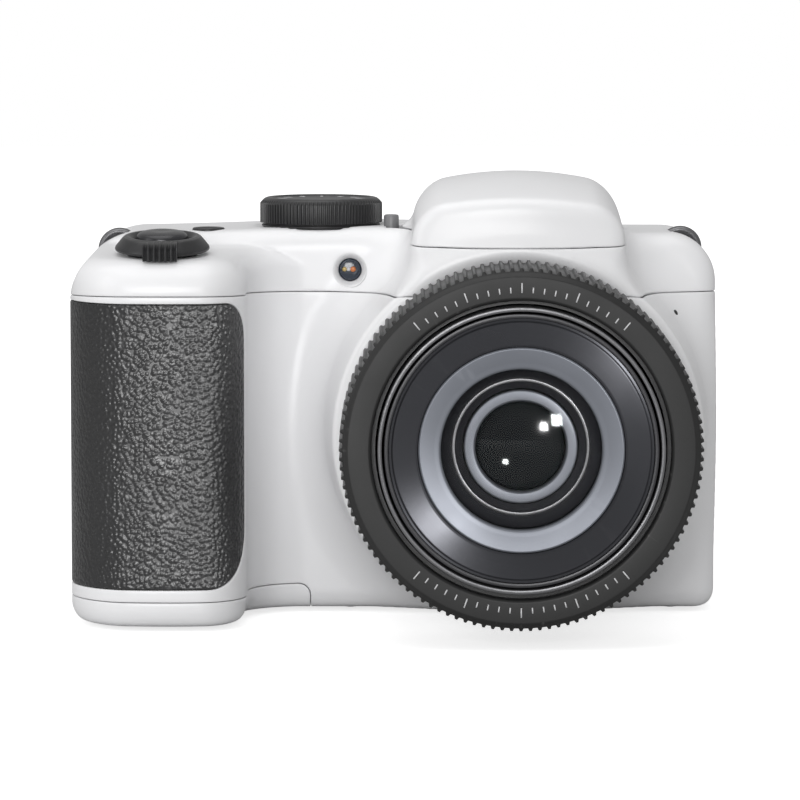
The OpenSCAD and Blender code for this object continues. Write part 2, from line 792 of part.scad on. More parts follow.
module lens_ring() color(black) {
  difference() {
    union() {
      translate([lens_x, ring_y0 + ring_face_d, lens_z]) rotate([-90, 0, 0])
        linear_extrude(ring_d - ring_face_d)
          polygon(teeth(ring_teeth, ring_r - ring_tooth, ring_r, 0.36, 0.18));
      lens_turned([[0, ring_y0], [ring_r - 1.8, ring_y0 + 0.4], [ring_r - ring_tooth, ring_y0 + 1.6],
                   [ring_r - ring_tooth, ring_y0 + 3], [0, ring_y0 + 3]]);
    }
    lens_rod(ring_lip_r, ring_y0 - 1, ring_y1 + 1);
    lens_rod(tube_r + fit, tube_y0, ring_y1 + 1);
  }
}

module lens_tube() color(black) difference() {
  union() {
    lens_rod(tube_r, tube_y0, flange_y1);
    lens_rod(flange_r, in_y0, flange_y1);
  }
  lens_rod(tube_bore, tube_y0 - 1, far);
  lens_rod(cam_r + barrel_gap, cam_y0 - 0.4, far);
}

// Local frame whose +X runs from the lens axis to the motor
module to_motor() translate([lens_x, 0, lens_z]) rotate([0, motor_angle, 0]) children();

module cam_ring() color("dimgray") difference() {
  union() {
    lens_rod(cam_r, cam_y0, gear_y1);
    to_motor() translate([0, gear_y0, 0]) rotate([-90, 0, 0]) linear_extrude(gear_t)
      polygon(teeth(cam_teeth, cam_pitch_r - gear_module, cam_pitch_r + 0.7 * gear_module, 0.3, 0.12));
  }
  lens_rod(tube_bore, cam_y0 - 1, gear_y1 + 1);
}

module lens_base() color(black) difference() {
  union() {
    lens_turned([[0, base_y0], [rim_wall_r0, base_y0], [rim_wall_r0, flange_y1], [flange_r, flange_y1],
                 [flange_r, base_y1], [0, base_y1]]);
    to_motor() rod_y([pinion_reach, 0], motor_r + 1.6, base_y0 + 0.2, base_y1 - 0.1);
  }
  to_motor() rod_y([pinion_reach, 0], pinion_pitch_r + gear_module + 0.6, flange_y1 - 1, base_y0 + 0.1);
  to_motor() rod_y([pinion_reach, 0], shaft_r + fit, base_y0 - 1, base_y1 + 1);
  lens_block(sensor_half + [sensor_play, sensor_play], base_y0 - 1, base_y1 + 1);
}

module zoom_motor() color(metal) to_motor() rod_y([pinion_reach, 0], motor_r, base_y1, base_y1 + motor_l);

module zoom_pinion() color(brass) to_motor() {
  translate([pinion_reach, gear_y0, 0]) rotate([-90, 0, 0]) linear_extrude(gear_t)
    rotate(180 / pinion_teeth)
      polygon(teeth(pinion_teeth, pinion_pitch_r - gear_module, pinion_pitch_r + 0.7 * gear_module,
                    0.28, 0.1));
  rod_y([pinion_reach, 0], shaft_r, gear_y1 - eps, base_y1 - 0.2);
}

module outer_barrel() color(black) lens_sleeve(barrel_r, barrel_r - barrel_wall, rim_y, rim_y + barrel_l);

module inner_barrel() color(black) lens_sleeve(inner_barrel_r, cone_r, rim_y + 0.2, rim_y + inner_barrel_l);

module turned_ring() color("dimgray")
  lens_turned([[cone_r - fit, rim_y + 0.5], [cone_r - fit, rim_y + 4], [grey_r - 1.5, rim_y + 4],
               [grey_r - 1.5, rim_y + 2.8], [grey_r, rim_y + 2.8], [grey_r, cone_y]]);

module retaining_ring() color("slategray")
  lens_turned([[grey_r - fit, cone_y + 0.1], [grey_r - fit, rim_y + 2.7], [grey_r - 1.6, rim_y + 2.7],
               [grey_r - 1.6, rim_y + 4], [glass_r, rim_y + 4], [glass_r, glass_y],
               [glass_r + 0.6, glass_y - 0.3]]);

// A lens element with a bulged front and a hollow rear
module element(r, y, bulge, t)
  lens_turned(concat([for (i = [0:8]) [r * i / 8, y - bulge * (1 - i * i / 64)]],
                     [[r, y + t], [0, y + t * 0.6]]));

module front_element() color(clear) element(glass_r - fit, rim_y + 3.2, 0.8, 2.2);

module inner_cell() color("gray")
  lens_turned([[glass_r + 2, rim_y + 5.6], [cone_r - fit, rim_y + 5.6], [cone_r - fit, rim_y + 7],
               [glass_r + 1, rim_y + 7], [inner_r + 1.5, inner_y + 1.5], [inner_r + 1.5, inner_y + 5],
               [inner_glass_r, inner_y + 5], [inner_glass_r, inner_y + 0.6], [inner_glass_r + 0.5, inner_y],
               [inner_r, inner_y]]);

module inner_element() color(clear) element(inner_glass_r - fit, inner_y + 2, 1, 2.4);

module iris_unit() color(black) lens_sleeve(cone_r - fit, 3, iris_y, iris_y + 3);

module rear_group() color(black) difference() {
  lens_rod(tube_bore - 4, base_y0 - 6, base_y0);
  lens_rod(4, base_y0 - 7, base_y0 + 1);
}

module sensor() color("darkslateblue")
  lens_block(sensor_half, base_y1 - sensor_t, base_y1);

module sensor_board() color(board_green)
  lens_block(sensor_board_half, base_y1, base_y1 + sensor_board_t);

// Chassis and electronics

module motor_clear(y0, y1) to_motor() rod_y([pinion_reach, 0], motor_r + 0.5, y0, y1);

module chassis() color(metal) difference() {
  union() {
    box([board_x0, chassis_y0, wall + 0.1], [in_x1 - 5, chassis_y0 + chassis_t, seam_z - 3]);
    // Feet on the base and posts for the main board
    for (i = [0, 1])
      box([screw_spots[i][0] - chassis_foot_half, in_y0 + 0.3, wall + 0.1],
          [screw_spots[i][0] + chassis_foot_half, chassis_y0 + eps, wall + 2]);
    for (x = [board_x0 + 3, in_x1 - 8], z = [14, seam_z - 6])
      rod_y([x, z], post_r, chassis_y0, board_y0);
  }
  motor_clear(chassis_y0 - 1, chassis_y0 + chassis_t + 1);
  box([bush_c[0] - bush_room, chassis_y0 - 1, 0], [bush_c[0] + bush_room, board_y0, bush_room + 2]);
  // Room for the battery door and its hinge
  box([left, chassis_y0 - far, 0], [door_room_x, board_y0, door_h + 2]);
  screw_holes(0);
}

module main_board() color(board_green) difference() {
  box([board_x0 + 1, board_y0, 11], [in_x1 - 6, board_y0 + board_t, seam_z - 4]);
  motor_clear(board_y0 - 1, board_y0 + board_t + 1);
}

module key_board() color(board_green)
  box([in_x0 + 0.5, key_board_y1 - key_board_t, door_h + 1.6], [box_x1 - 0.4, key_board_y1, seam_z - 3]);

module screen_panel() color("dimgray")
  box([screen_x0 + 2.3, in_y1 - 3, screen_z0 + 2.3],
      [screen_x0 + screen_w - 2.3, slab_y1 - screen_t + 0.2, screen_z0 + screen_h - 2.3]);

module screen_window() color([0.05, 0.05, 0.06])
  box([screen_x0 + fit, slab_y1 - screen_t + 0.3, screen_z0 + fit],
      [screen_x0 + screen_w - fit, slab_y1 + 0.3, screen_z0 + screen_h - fit]);

// Flash

module flash_lid() color(white) difference() {
  union() {
    difference() {
      intersection() {
        hump();
        lid_zone(0, 0);
      }
      hump(lid_wall);
      // Scooped front face
      rod_x(scoop_c, scoop_r, lens_x - far, lens_x + far);
    }
    intersection() {
      union() {
        for (x = [lens_x - lid_arm_x, lens_x + lid_arm_x])
          box([x - lid_arm_half, hinge_y - 3, flash_hinge_z - 0.5],
              [x + lid_arm_half, hinge_y + 1.5, body_h + hump_h]);
        // Boss that carries the reflector
        translate([lens_x, flash_c[1] + 5.2, flash_c[2] + 2])
          box([-boss_half, 0, 0], [boss_half, boss_d, hump_h]);
      }
      hump();
      lid_zone(0, 0);
    }
    for (x = [lens_x - lid_arm_x, lens_x + lid_arm_x])
      rod_x([hinge_y, flash_hinge_z], lid_knuckle_r, x - lid_arm_half, x + lid_arm_half);
  }
  flash_pin(flash_pin_r + fit, pin_half + 1.4);
  for (x = [lens_x - flash_ear_x, lens_x + flash_ear_x])
    rod_x([hinge_y, flash_hinge_z], lid_knuckle_r + ear_play, x - flash_ear_half - ear_play,
          x + flash_ear_half + ear_play);
}

// A bar along the flash hinge
module flash_pin(r, half) rod_x([hinge_y, flash_hinge_z], r, lens_x - half, lens_x + half);

module flash_hinge_pin() color(metal) flash_pin(flash_pin_r, pin_half);

// Local frame of the flash window: +Y runs back into the lid, square to the window
module flash_place() translate(flash_c) rotate([flash_angle, 0, 0]) children();

module flash_window() color(clear) flash_place()
  box([-flash_w / 2, 0, -flash_half], [flash_w / 2, flash_t, flash_half]);

module flash_reflector() color(metal) flash_place() difference() {
  rotate([90, 0, 90]) translate([0, 0, -flash_w / 2]) linear_extrude(flash_w)
    polygon([[flash_t, -flash_half], [flash_t + reflector_d, -reflector_neck],
             [flash_t + reflector_d, reflector_neck], [flash_t, flash_half]]);
  rotate([90, 0, 90]) translate([0, 0, reflector_t - flash_w / 2]) linear_extrude(flash_w - 2 * reflector_t)
    polygon([[flash_t - eps, reflector_t - flash_half], [flash_t + reflector_d - 0.5, 0.3 - reflector_neck],
             [flash_t + reflector_d - 0.5, reflector_neck - 0.3], [flash_t - eps, flash_half - reflector_t]]);
}

module flash_tube() color(clear) flash_place()
  rod_x([flash_t + reflector_d - 1.8, 0], flash_tube_r, reflector_t + fit - flash_w / 2,
        flash_w / 2 - reflector_t - fit);

module flash_capacitor() color([0.1, 0.12, 0.3])
  rod_z([cell_x0 + cell_pitch / 2, capacitor_y], capacitor_r, capacitor_z0, capacitor_z1);

// Top controls

module mode_dial() color(black) {
  top_z = body_h + dial_rise + dial_h;
  translate([dial_c[0], dial_c[1], body_h + dial_rise]) linear_extrude(dial_h - 1)
    polygon(teeth(dial_teeth, dial_r - dial_tooth, dial_r, 0.4, 0.22));
  rod_z(dial_c, dial_r - dial_cap_in, top_z - dial_cap_t, top_z);
  rod_z(dial_c, dial_stem_r, body_h - dial_stem_l, body_h + dial_rise + eps);
}

// Local frame of the lever's sloping seat
module lever_place() translate(lever_c) rotate([lever_tilt, 0, 0]) children();

module zoom_lever() color(black) lever_place() difference() {
  union() {
    translate([0, 0, lever_rise]) cylinder(r = lever_r, h = lever_h);
    translate([0, 0, -lever_collar_l]) cylinder(r = lever_collar_r, h = lever_collar_l + lever_rise + 0.1);
    for (i = [-2:2])
      translate([i * tab_rib_pitch - tab_rib_w / 2, -lever_r - tab_out - tab_rib_out, lever_rise])
        cube([tab_rib_w, tab_l, lever_h + tab_rib_out]);
    translate([-tab_w / 2, -lever_r - tab_out, lever_rise]) cube([tab_w, tab_l, lever_h]);
  }
  translate([0, 0, -lever_collar_l - 1])
    cylinder(r = shutter_r + shutter_play, h = lever_collar_l + lever_h + 2);
}

module shutter_button() color(black) lever_place() intersection() {
  translate([0, 0, -shutter_l]) cylinder(r = shutter_r, h = shutter_l + shutter_top + 0.2);
  translate([0, 0, shutter_top - shutter_dome_r]) sphere(shutter_dome_r);
}

module power_button() color(black) rod_z(power_c, power_r, body_h - power_l, body_h + power_proud);

module flash_release() color("gray") rod_z(release_c, release_r, body_h - release_l, body_h + release_h);

// Rear keys: a cap with a collar that stays behind the wall
module rear_key(c, r, top)
  union() {
    rod_y(c, r, in_y1 - 0.4, top);
    rod_y(c, r + key_brim, in_y1 - key_collar, in_y1 - 0.3);
  }

module four_way_pad() color(black) difference() {
  rear_key(pad_c, pad_key_r, key_y);
  rod_y(pad_c, ok_r + key_gap, in_y1 - 2, far);
  turned(pad_c, [[ok_r, key_y - 0.5], [pad_key_r - 1.6, key_y - 0.1], [pad_key_r - 1.6, far], [ok_r, far]]);
}

module ok_button() color(black) rod_y(pad_c, ok_r, in_y1 - key_collar, key_y - 0.3);

module menu_button() color(black) rear_key(menu_c, key_r, key_top);
module play_button() color(black) rear_key(play_c, key_r, key_top);
module trash_button() color(black) rear_key(trash_c, key_r, key_top);
module help_button() color(black) rear_key(help_c, key_r, key_top);
module record_button() color("firebrick") rear_key(record_c, key_r, key_top);

// Fittings

module focus_bezel() color(white)
  turned(lamp_c, [[bezel_in_r, slab_y0 + 1.6], [bezel_r - 0.2, slab_y0 + 0.1], [bezel_r, slab_y0 + 0.1],
                  [bezel_r, lamp_y1], [bezel_in_r, lamp_y1]]);

module focus_lamp() color("darkorange")
  turned(lamp_c, [[0, slab_y0 + 1.2], [lamp_r * 2 / 3, slab_y0 + 1.3], [lamp_r, slab_y0 + 1.8],
                  [lamp_r, lamp_y1], [0, lamp_y1]]);

module port_socket() color(metal) difference() {
  port_block(0);
  box([port_x0 + 0.2, port_c[0] - port_half[0] + port_shell, port_c[1] - port_half[1] + port_shell],
      [port_x0 + 3, port_c[0] + port_half[0] - port_shell, port_c[1] + port_half[1] - port_shell]);
}

module port_flap() color(rubber) difference() {
  union() {
    box([right - flap_t, flap_y0 + flap_t / 2, flap_z0], [right - 0.05, flap_y0 + flap_w, flap_z0 + flap_h]);
    rod_z([right - flap_t / 2 - 0.05, flap_y0 + flap_t / 2], flap_t / 2 - 0.05, flap_z0, flap_z0 + flap_h);
  }
  rod_z([right, flap_y0 + flap_w - 2], 0.5, flap_z0 + flap_h / 2 - 3, flap_z0 + flap_h / 2 + 3);
}

module tripod_bush() color(brass) difference() {
  union() {
    rod_z(bush_c, bush_r, 0.2, tripod_l + 0.2);
    rod_z(bush_c, bush_r + bush_collar, wall + 0.1, wall + 0.2 + bush_collar);
  }
  rod_z(bush_c, tripod_r, 0, tripod_l + 1);
}

// A ring-shaped ear for the strap at each shoulder
module strap_lugs() color(metal) each_lug() difference() {
  rod_y([0, 0], lug_r, -lug_t / 2, lug_t / 2);
  rod_y([0, 0], lug_eye_r, -lug_t, lug_t);
}

module base_screws() color(metal) for (p = screw_spots) {
  rod_z(p, screw_head_r, screw_head_z0, screw_head_z1);
  rod_z(p, screw_r, screw_head_z1 - 0.1, wall + screw_l);
}

front_cover();
top_cover();
rear_cover();
grip_pad();
thumb_rest();
battery_door();
door_hinge_pin();
battery_box();
aa_cells();
cell_contacts();
door_contacts();
card_socket();
memory_card();
lens_ring();
lens_tube();
cam_ring();
lens_base();
zoom_motor();
zoom_pinion();
outer_barrel();
inner_barrel();
turned_ring();
retaining_ring();
front_element();
inner_cell();
inner_element();
iris_unit();
rear_group();
sensor();
sensor_board();
chassis();
main_board();
key_board();
screen_panel();
screen_window();
flash_lid();
flash_hinge_pin();
flash_window();
flash_reflector();
flash_tube();
flash_capacitor();
mode_dial();
zoom_lever();
shutter_button();
power_button();
flash_release();
four_way_pad();
ok_button();
menu_button();
play_button();
trash_button();
help_button();
record_button();
focus_lamp();
focus_bezel();
port_socket();
port_flap();
tripod_bush();
strap_lugs();
base_screws();
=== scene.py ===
# %% [markdown]
# # A white bridge camera
# The solids of the camera come in as a fixed frame, in metres. Everything made here is laid over
# that frame, so sizes are read from the solids wherever one of them has the size that is needed.

# %% Load the frame
import math

import bpy
import numpy as np
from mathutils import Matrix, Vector


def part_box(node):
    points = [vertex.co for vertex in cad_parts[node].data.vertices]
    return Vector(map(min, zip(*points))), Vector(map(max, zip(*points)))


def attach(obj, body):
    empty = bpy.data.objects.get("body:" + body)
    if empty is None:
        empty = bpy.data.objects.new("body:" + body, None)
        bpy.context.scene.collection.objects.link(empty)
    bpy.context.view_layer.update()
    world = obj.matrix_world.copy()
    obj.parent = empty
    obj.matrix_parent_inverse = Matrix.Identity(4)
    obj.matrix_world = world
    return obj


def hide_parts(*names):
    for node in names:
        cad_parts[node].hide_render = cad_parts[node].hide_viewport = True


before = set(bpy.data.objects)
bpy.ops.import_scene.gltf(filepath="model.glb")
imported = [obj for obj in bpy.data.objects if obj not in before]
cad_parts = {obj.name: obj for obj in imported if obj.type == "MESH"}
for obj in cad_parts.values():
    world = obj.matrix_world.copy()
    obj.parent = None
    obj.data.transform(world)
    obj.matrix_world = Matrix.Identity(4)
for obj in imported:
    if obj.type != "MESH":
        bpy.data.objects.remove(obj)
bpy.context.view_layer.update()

MM = 0.001

# %% [markdown]
# ## Sizes
# All modelling below is in millimetres, because that is how a camera is drawn. A few planes carry the
# whole design: the front and back of the slab, its top, the grip's front and the lens axis.

# %% Sizes from the frame
def box_mm(node):
    """Lowest and highest corner of a solid, in millimetres."""
    return [np.array(corner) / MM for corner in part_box(node)]


def middle_mm(node):
    low, high = box_mm(node)
    return (low + high) / 2


LEFT, RIGHT = box_mm("front_cover")[0][0], box_mm("front_cover")[1][0]
BACK = box_mm("rear_cover")[1][1]
REAR_SEAM = box_mm("rear_cover")[0][1]
FRONT = box_mm("focus_bezel")[0][1] - 0.1
TOP = box_mm("power_button")[1][2] - 0.8
GRIP_FRONT = box_mm("grip_pad")[0][1]
GRIP_SIDE = box_mm("grip_pad")[1][0]
LENS_X, LENS_Z = middle_mm("lens_ring")[0], middle_mm("lens_ring")[2]
RING_R = (box_mm("lens_ring")[1][0] - box_mm("lens_ring")[0][0]) / 2
RING_FRONT, RING_BACK = box_mm("lens_ring")[0][1], box_mm("lens_ring")[1][1]
BROW = box_mm("flash_lid")[0][1]
HUMP_TOP = box_mm("flash_lid")[1][2]
HINGE_Y, HINGE_Z = middle_mm("flash_hinge_pin")[1], middle_mm("flash_hinge_pin")[2]
DOOR_END = box_mm("battery_door")[1][0]
DOOR_H = box_mm("battery_door")[1][2]
print(f"body {RIGHT - LEFT:.1f} wide, {TOP:.1f} tall, slab {FRONT:.1f} to {BACK:.1f}, ring radius {RING_R:.1f}")

# %% [markdown]
# ## Camera
# The photograph looks at the front from slightly above with a long lens. A camera close by would swell the
# lens barrel, so this one stands far away and has a narrow view.

# %% Camera
VIEW_DISTANCE = 900 * MM
VIEW_RISE = math.radians(5.4)
VIEW_TARGET = Vector((0.8, 0, 40.1)) * MM
FOCAL_PIXELS = 4932
IMAGE_PIXELS = 800
SENSOR = 36

camera_data = bpy.data.cameras.new("camera")
camera_data.sensor_width = SENSOR
camera_data.lens = FOCAL_PIXELS * SENSOR / IMAGE_PIXELS
camera_data.clip_start, camera_data.clip_end = 0.05, 100
camera = bpy.data.objects.new("camera", camera_data)
bpy.context.scene.collection.objects.link(camera)
towards_camera = Vector((0, -math.cos(VIEW_RISE), math.sin(VIEW_RISE)))
camera.location = VIEW_TARGET + towards_camera * VIEW_DISTANCE
camera.rotation_euler = (-towards_camera).to_track_quat("-Z", "Y").to_euler()
bpy.context.scene.camera = camera
bpy.context.scene.view_settings.view_transform = "Standard"
print("lens of the camera:", round(camera_data.lens, 1), "mm")

# %% [markdown]
# ## Light
# A product photo is lit by soft boxes: here one above, one in front and one at the side, all area lamps.
# Three small lamps will light single pieces only. The world is white for the camera and dimmer for
# everything else, so the backdrop stays white while the plastic keeps its shading.

# %% Lamps and world
def soft_lamp(name, place, aim, size, watts):
    """A rectangular lamp at a place in metres that looks at a point."""
    data = bpy.data.lights.new(name, "AREA")
    data.shape = "RECTANGLE"
    data.size, data.size_y = size
    data.energy = watts
    lamp = bpy.data.objects.new(name, data)
    bpy.context.scene.collection.objects.link(lamp)
    lamp.location = place
    lamp.rotation_euler = (Vector(aim) - Vector(place)).to_track_quat("-Z", "Y").to_euler()
    return lamp


top_lamp = soft_lamp("top_lamp", (-0.1, -0.05, 0.75), (0, 0, 0.04), (0.8, 0.7), 2.5)
front_lamp = soft_lamp("front_lamp", (-0.12, -1.05, 0.24), (0, 0, 0.04), (0.5, 0.4), 5.5)
side_lamp = soft_lamp("side_lamp", (-0.75, -0.35, 0.35), (0, 0, 0.04), (0.4, 0.6), 1.2)
grip_lamp = soft_lamp("grip_lamp", (-0.09, -1.0, 0.16), (-0.043, 0, 0.035), (0.08, 0.3), 5.5)
finger_lamp = soft_lamp("finger_lamp", (0.6, -0.7, 0.2), (-0.03, 0, 0.035), (0.2, 0.4), 8.0)
glint_lamp = soft_lamp("glint_lamp", (0.366, -1.074, 0.188), (0.022, -0.04, 0.035), (0.1, 0.1), 8.0)


def light_path_shows(tree):
    """1 for rays from the camera, which should see a white studio; mirrored rays see its real, dimmer level."""
    return tree.nodes.new("ShaderNodeLightPath").outputs["Is Camera Ray"]


WORLD_LIGHT = 0.47
world = bpy.data.worlds.new("studio")
bpy.context.scene.world = world
world.use_nodes = True
background = world.node_tree.nodes["Background"]
background.inputs["Color"].default_value = (1, 1, 1, 1)
strength = world.node_tree.nodes.new("ShaderNodeMapRange")
world.node_tree.links.new(light_path_shows(world.node_tree), strength.inputs["Value"])
strength.inputs["To Min"].default_value = WORLD_LIGHT
strength.inputs["To Max"].default_value = 1.0
world.node_tree.links.new(strength.outputs["Result"], background.inputs["Strength"])

# %% [markdown]
# ## Floor
# The camera stands on white card. Plain white paint would come out grey, so the floor also glows for the
# camera's own rays, more so far away. The shadow under the camera stays and the horizon is lost.

# %% Floor
FLOOR_HALF = 2.0
FLOOR_WHITE = 0.62
FLOOR_LIFT = 0.72
FLOOR_FADE = (0.15, 0.6)

floor_mesh = bpy.data.meshes.new("floor")
floor_mesh.from_pydata([(x * FLOOR_HALF, y * FLOOR_HALF, -0.0002) for x, y in
                        ((-1, -1), (1, -1), (1, 1), (-1, 1))], [], [(0, 1, 2, 3)])
floor = bpy.data.objects.new("floor", floor_mesh)
bpy.context.scene.collection.objects.link(floor)
floor_paint = bpy.data.materials.new("floor_paint")
floor_paint.use_nodes = True
floor_shader = floor_paint.node_tree.nodes["Principled BSDF"]
floor_shader.inputs["Base Color"].default_value = (FLOOR_WHITE, FLOOR_WHITE, FLOOR_WHITE, 1)
floor_shader.inputs["Roughness"].default_value = 0.9
floor_shader.inputs["Specular IOR Level"].default_value = 0.1
floor_shader.inputs["Emission Color"].default_value = (1, 1, 1, 1)
floor_nodes, floor_links = floor_paint.node_tree.nodes, floor_paint.node_tree.links
floor_place = floor_nodes.new("ShaderNodeNewGeometry")
floor_reach = floor_nodes.new("ShaderNodeVectorMath")
floor_reach.operation = "LENGTH"
floor_links.new(floor_place.outputs["Position"], floor_reach.inputs[0])
fade = floor_nodes.new("ShaderNodeMapRange")
fade.inputs["From Min"].default_value, fade.inputs["From Max"].default_value = FLOOR_FADE
fade.inputs["To Min"].default_value = FLOOR_LIFT
floor_links.new(floor_reach.outputs["Value"], fade.inputs["Value"])
lift = floor_nodes.new("ShaderNodeMath")
lift.operation = "MULTIPLY"
floor_links.new(light_path_shows(floor_paint.node_tree), lift.inputs[0])
floor_links.new(fade.outputs["Result"], lift.inputs[1])
floor_links.new(lift.outputs[0], floor_shader.inputs["Emission Strength"])
floor_mesh.materials.append(floor_paint)
print("floor of", 2 * FLOOR_HALF, "m")

# %% [markdown]
# ## Effects that finishes share
# Moulded plastic, rubber and turned metal all need the same few effects: a fine grain, pale edges where
# hands rub, a little dust on what faces up. Each is a node group that puts out masks and heights, so every
# finish can take the same effect with values of its own.

# %% Node group helpers
def new_group(name, inputs, outputs):
    """An empty shader node group with named sockets; returns the group and its two end nodes."""
    group = bpy.data.node_groups.new(name, "ShaderNodeTree")
    for label, kind, value in inputs:
        socket = group.interface.new_socket(name=label, in_out="INPUT", socket_type=kind)
        socket.default_value = value
    for label, kind in outputs:
        group.interface.new_socket(name=label, in_out="OUTPUT", socket_type=kind)
    return group, group.nodes.new("NodeGroupInput"), group.nodes.new("NodeGroupOutput")


def map_range(tree, value, low, high, to_low, to_high):
    """A value brought from one range to another, kept inside it."""
    node = tree.nodes.new("ShaderNodeMapRange")
    tree.links.new(value, node.inputs["Value"])
    for label, number in (("From Min", low), ("From Max", high), ("To Min", to_low), ("To Max", to_high)):
        node.inputs[label].default_value = number
    return node.outputs["Result"]


def product(tree, first, second):
    node = tree.nodes.new("ShaderNodeMath")
    node.operation = "MULTIPLY"
    for socket, value in zip(node.inputs, (first, second)):
        if isinstance(value, (int, float)):
            socket.default_value = value
        else:
            tree.links.new(value, socket)
    return node.outputs[0]


def noise(tree, scale, detail, vector):
    node = tree.nodes.new("ShaderNodeTexNoise")
    node.inputs["Detail"].default_value = detail
    tree.links.new(vector, node.inputs["Vector"])
    if isinstance(scale, (int, float)):
        node.inputs["Scale"].default_value = scale
    else:
        tree.links.new(scale, node.inputs["Scale"])
    return node.outputs["Fac"]


FLOAT = "NodeSocketFloat"

# %% [markdown]
# ## Grain and wear
# Moulded plastic takes its grain from the mould, and hands polish its edges. Image textures would need
# unwrapping. Noise in object space needs none, and Pointiness finds the convex edges by itself.

# %% Grain and rubbed edges
grain, start, end = new_group("moulded_grain", [("Scale", FLOAT, 5000.0), ("Mottle Scale", FLOAT, 60.0)],
                              [("Height", FLOAT), ("Mottle", FLOAT)])
place = grain.nodes.new("ShaderNodeTexCoord").outputs["Object"]
grain.links.new(noise(grain, start.outputs["Scale"], 2, place), end.inputs["Height"])
grain.links.new(noise(grain, start.outputs["Mottle Scale"], 4, place), end.inputs["Mottle"])

wear, start, end = new_group("rubbed_edges", [("Breakup Scale", FLOAT, 400.0)], [("Edge", FLOAT)])
place = wear.nodes.new("ShaderNodeTexCoord").outputs["Object"]
convex = map_range(wear, wear.nodes.new("ShaderNodeNewGeometry").outputs["Pointiness"], 0.53, 0.62, 0, 1)
patches = map_range(wear, noise(wear, start.outputs["Breakup Scale"], 3, place), 0.35, 0.65, 0.2, 1)
wear.links.new(product(wear, convex, patches), end.inputs["Edge"])
print("effects:", grain.name, wear.name)

# %% [markdown]
# ## Dust
# Dust settles on what faces up. It could be painted by hand. Here the normal picks the faces and noise
# breaks them into specks, which fits any shape.

# %% Dust
dust, start, end = new_group("settled_dust", [("Breakup Scale", FLOAT, 900.0)], [("Dust", FLOAT)])
place = dust.nodes.new("ShaderNodeTexCoord").outputs["Object"]
upward = dust.nodes.new("ShaderNodeSeparateXYZ")
dust.links.new(dust.nodes.new("ShaderNodeNewGeometry").outputs["Normal"], upward.inputs[0])
facing_up = map_range(dust, upward.outputs["Z"], 0.4, 1.0, 0, 1)
specks = map_range(dust, noise(dust, start.outputs["Breakup Scale"], 5, place), 0.45, 0.8, 0, 1)
dust.links.new(product(dust, facing_up, specks), end.inputs["Dust"])
print("effect:", dust.name)

# %% [markdown]
# ## Pebbled rubber
# The grip feels like leather. A smooth Voronoi pattern has the same round cells, and as bump it costs no
# geometry, which is enough for so shallow a relief.

# %% Pebbles
pebble, start, end = new_group("pebbled_skin", [("Scale", FLOAT, 1300.0)], [("Height", FLOAT)])
place = pebble.nodes.new("ShaderNodeTexCoord").outputs["Object"]
stones = pebble.nodes.new("ShaderNodeTexVoronoi")
stones.feature = "SMOOTH_F1"
stones.inputs["Smoothness"].default_value = 0.6
stones.inputs["Randomness"].default_value = 0.9
pebble.links.new(place, stones.inputs["Vector"])
pebble.links.new(start.outputs["Scale"], stones.inputs["Scale"])
pebble.links.new(map_range(pebble, stones.outputs["Distance"], 0.0, 0.7, 1, 0), end.inputs["Height"])
print("effect:", pebble.name)

# %% [markdown]
# ## Turning marks
# A lathe leaves rings about its axis. A wave texture would be too even, so noise is read along the
# distance from the lens axis only.

# %% Turning marks
turning, start, end = new_group("turning_marks", [("Rings", FLOAT, 6000.0)], [("Height", FLOAT)])
place = turning.nodes.new("ShaderNodeTexCoord").outputs["Object"]
from_axis = turning.nodes.new("ShaderNodeVectorMath")
from_axis.operation = "SUBTRACT"
from_axis.inputs[1].default_value = (LENS_X * MM, 0, LENS_Z * MM)
turning.links.new(place, from_axis.inputs[0])
flat = turning.nodes.new("ShaderNodeVectorMath")
flat.operation = "MULTIPLY"
flat.inputs[1].default_value = (1, 0, 1)
turning.links.new(from_axis.outputs[0], flat.inputs[0])
radius = turning.nodes.new("ShaderNodeVectorMath")
radius.operation = "LENGTH"
turning.links.new(flat.outputs[0], radius.inputs[0])
along = turning.nodes.new("ShaderNodeCombineXYZ")
turning.links.new(radius.outputs["Value"], along.inputs["X"])
turning.links.new(noise(turning, start.outputs["Rings"], 3, along.outputs[0]), end.inputs["Height"])
print("effects:", [g.name for g in bpy.data.node_groups])

# %% [markdown]
# ## Finishes
# A finish is one shader whose colour, roughness and normal vary a little over the surface. One function
# builds all of them, since they differ only in colour, gloss and in how strong each effect is.

# %% Finish builder
def mix_colour(tree, factor, first, second):
    """Two colours mixed by a factor; each is a socket or three numbers."""
    node = tree.nodes.new("ShaderNodeMix")
    node.data_type = "RGBA"
    tree.links.new(factor, node.inputs["Factor"])
    for socket, value in ((node.inputs[6], first), (node.inputs[7], second)):
        if isinstance(value, tuple):
            socket.default_value = (*value, 1)
        else:
            tree.links.new(value, socket)
    return node.outputs[2]


def place_group(tree, group, **values):
    node = tree.nodes.new("ShaderNodeGroup")
    node.node_tree = group
    for label, number in values.items():
        node.inputs[label.replace("_", " ")].default_value = number
    return node.outputs


def shade(colour, share):
    return tuple(min(1.0, c * share) for c in colour)


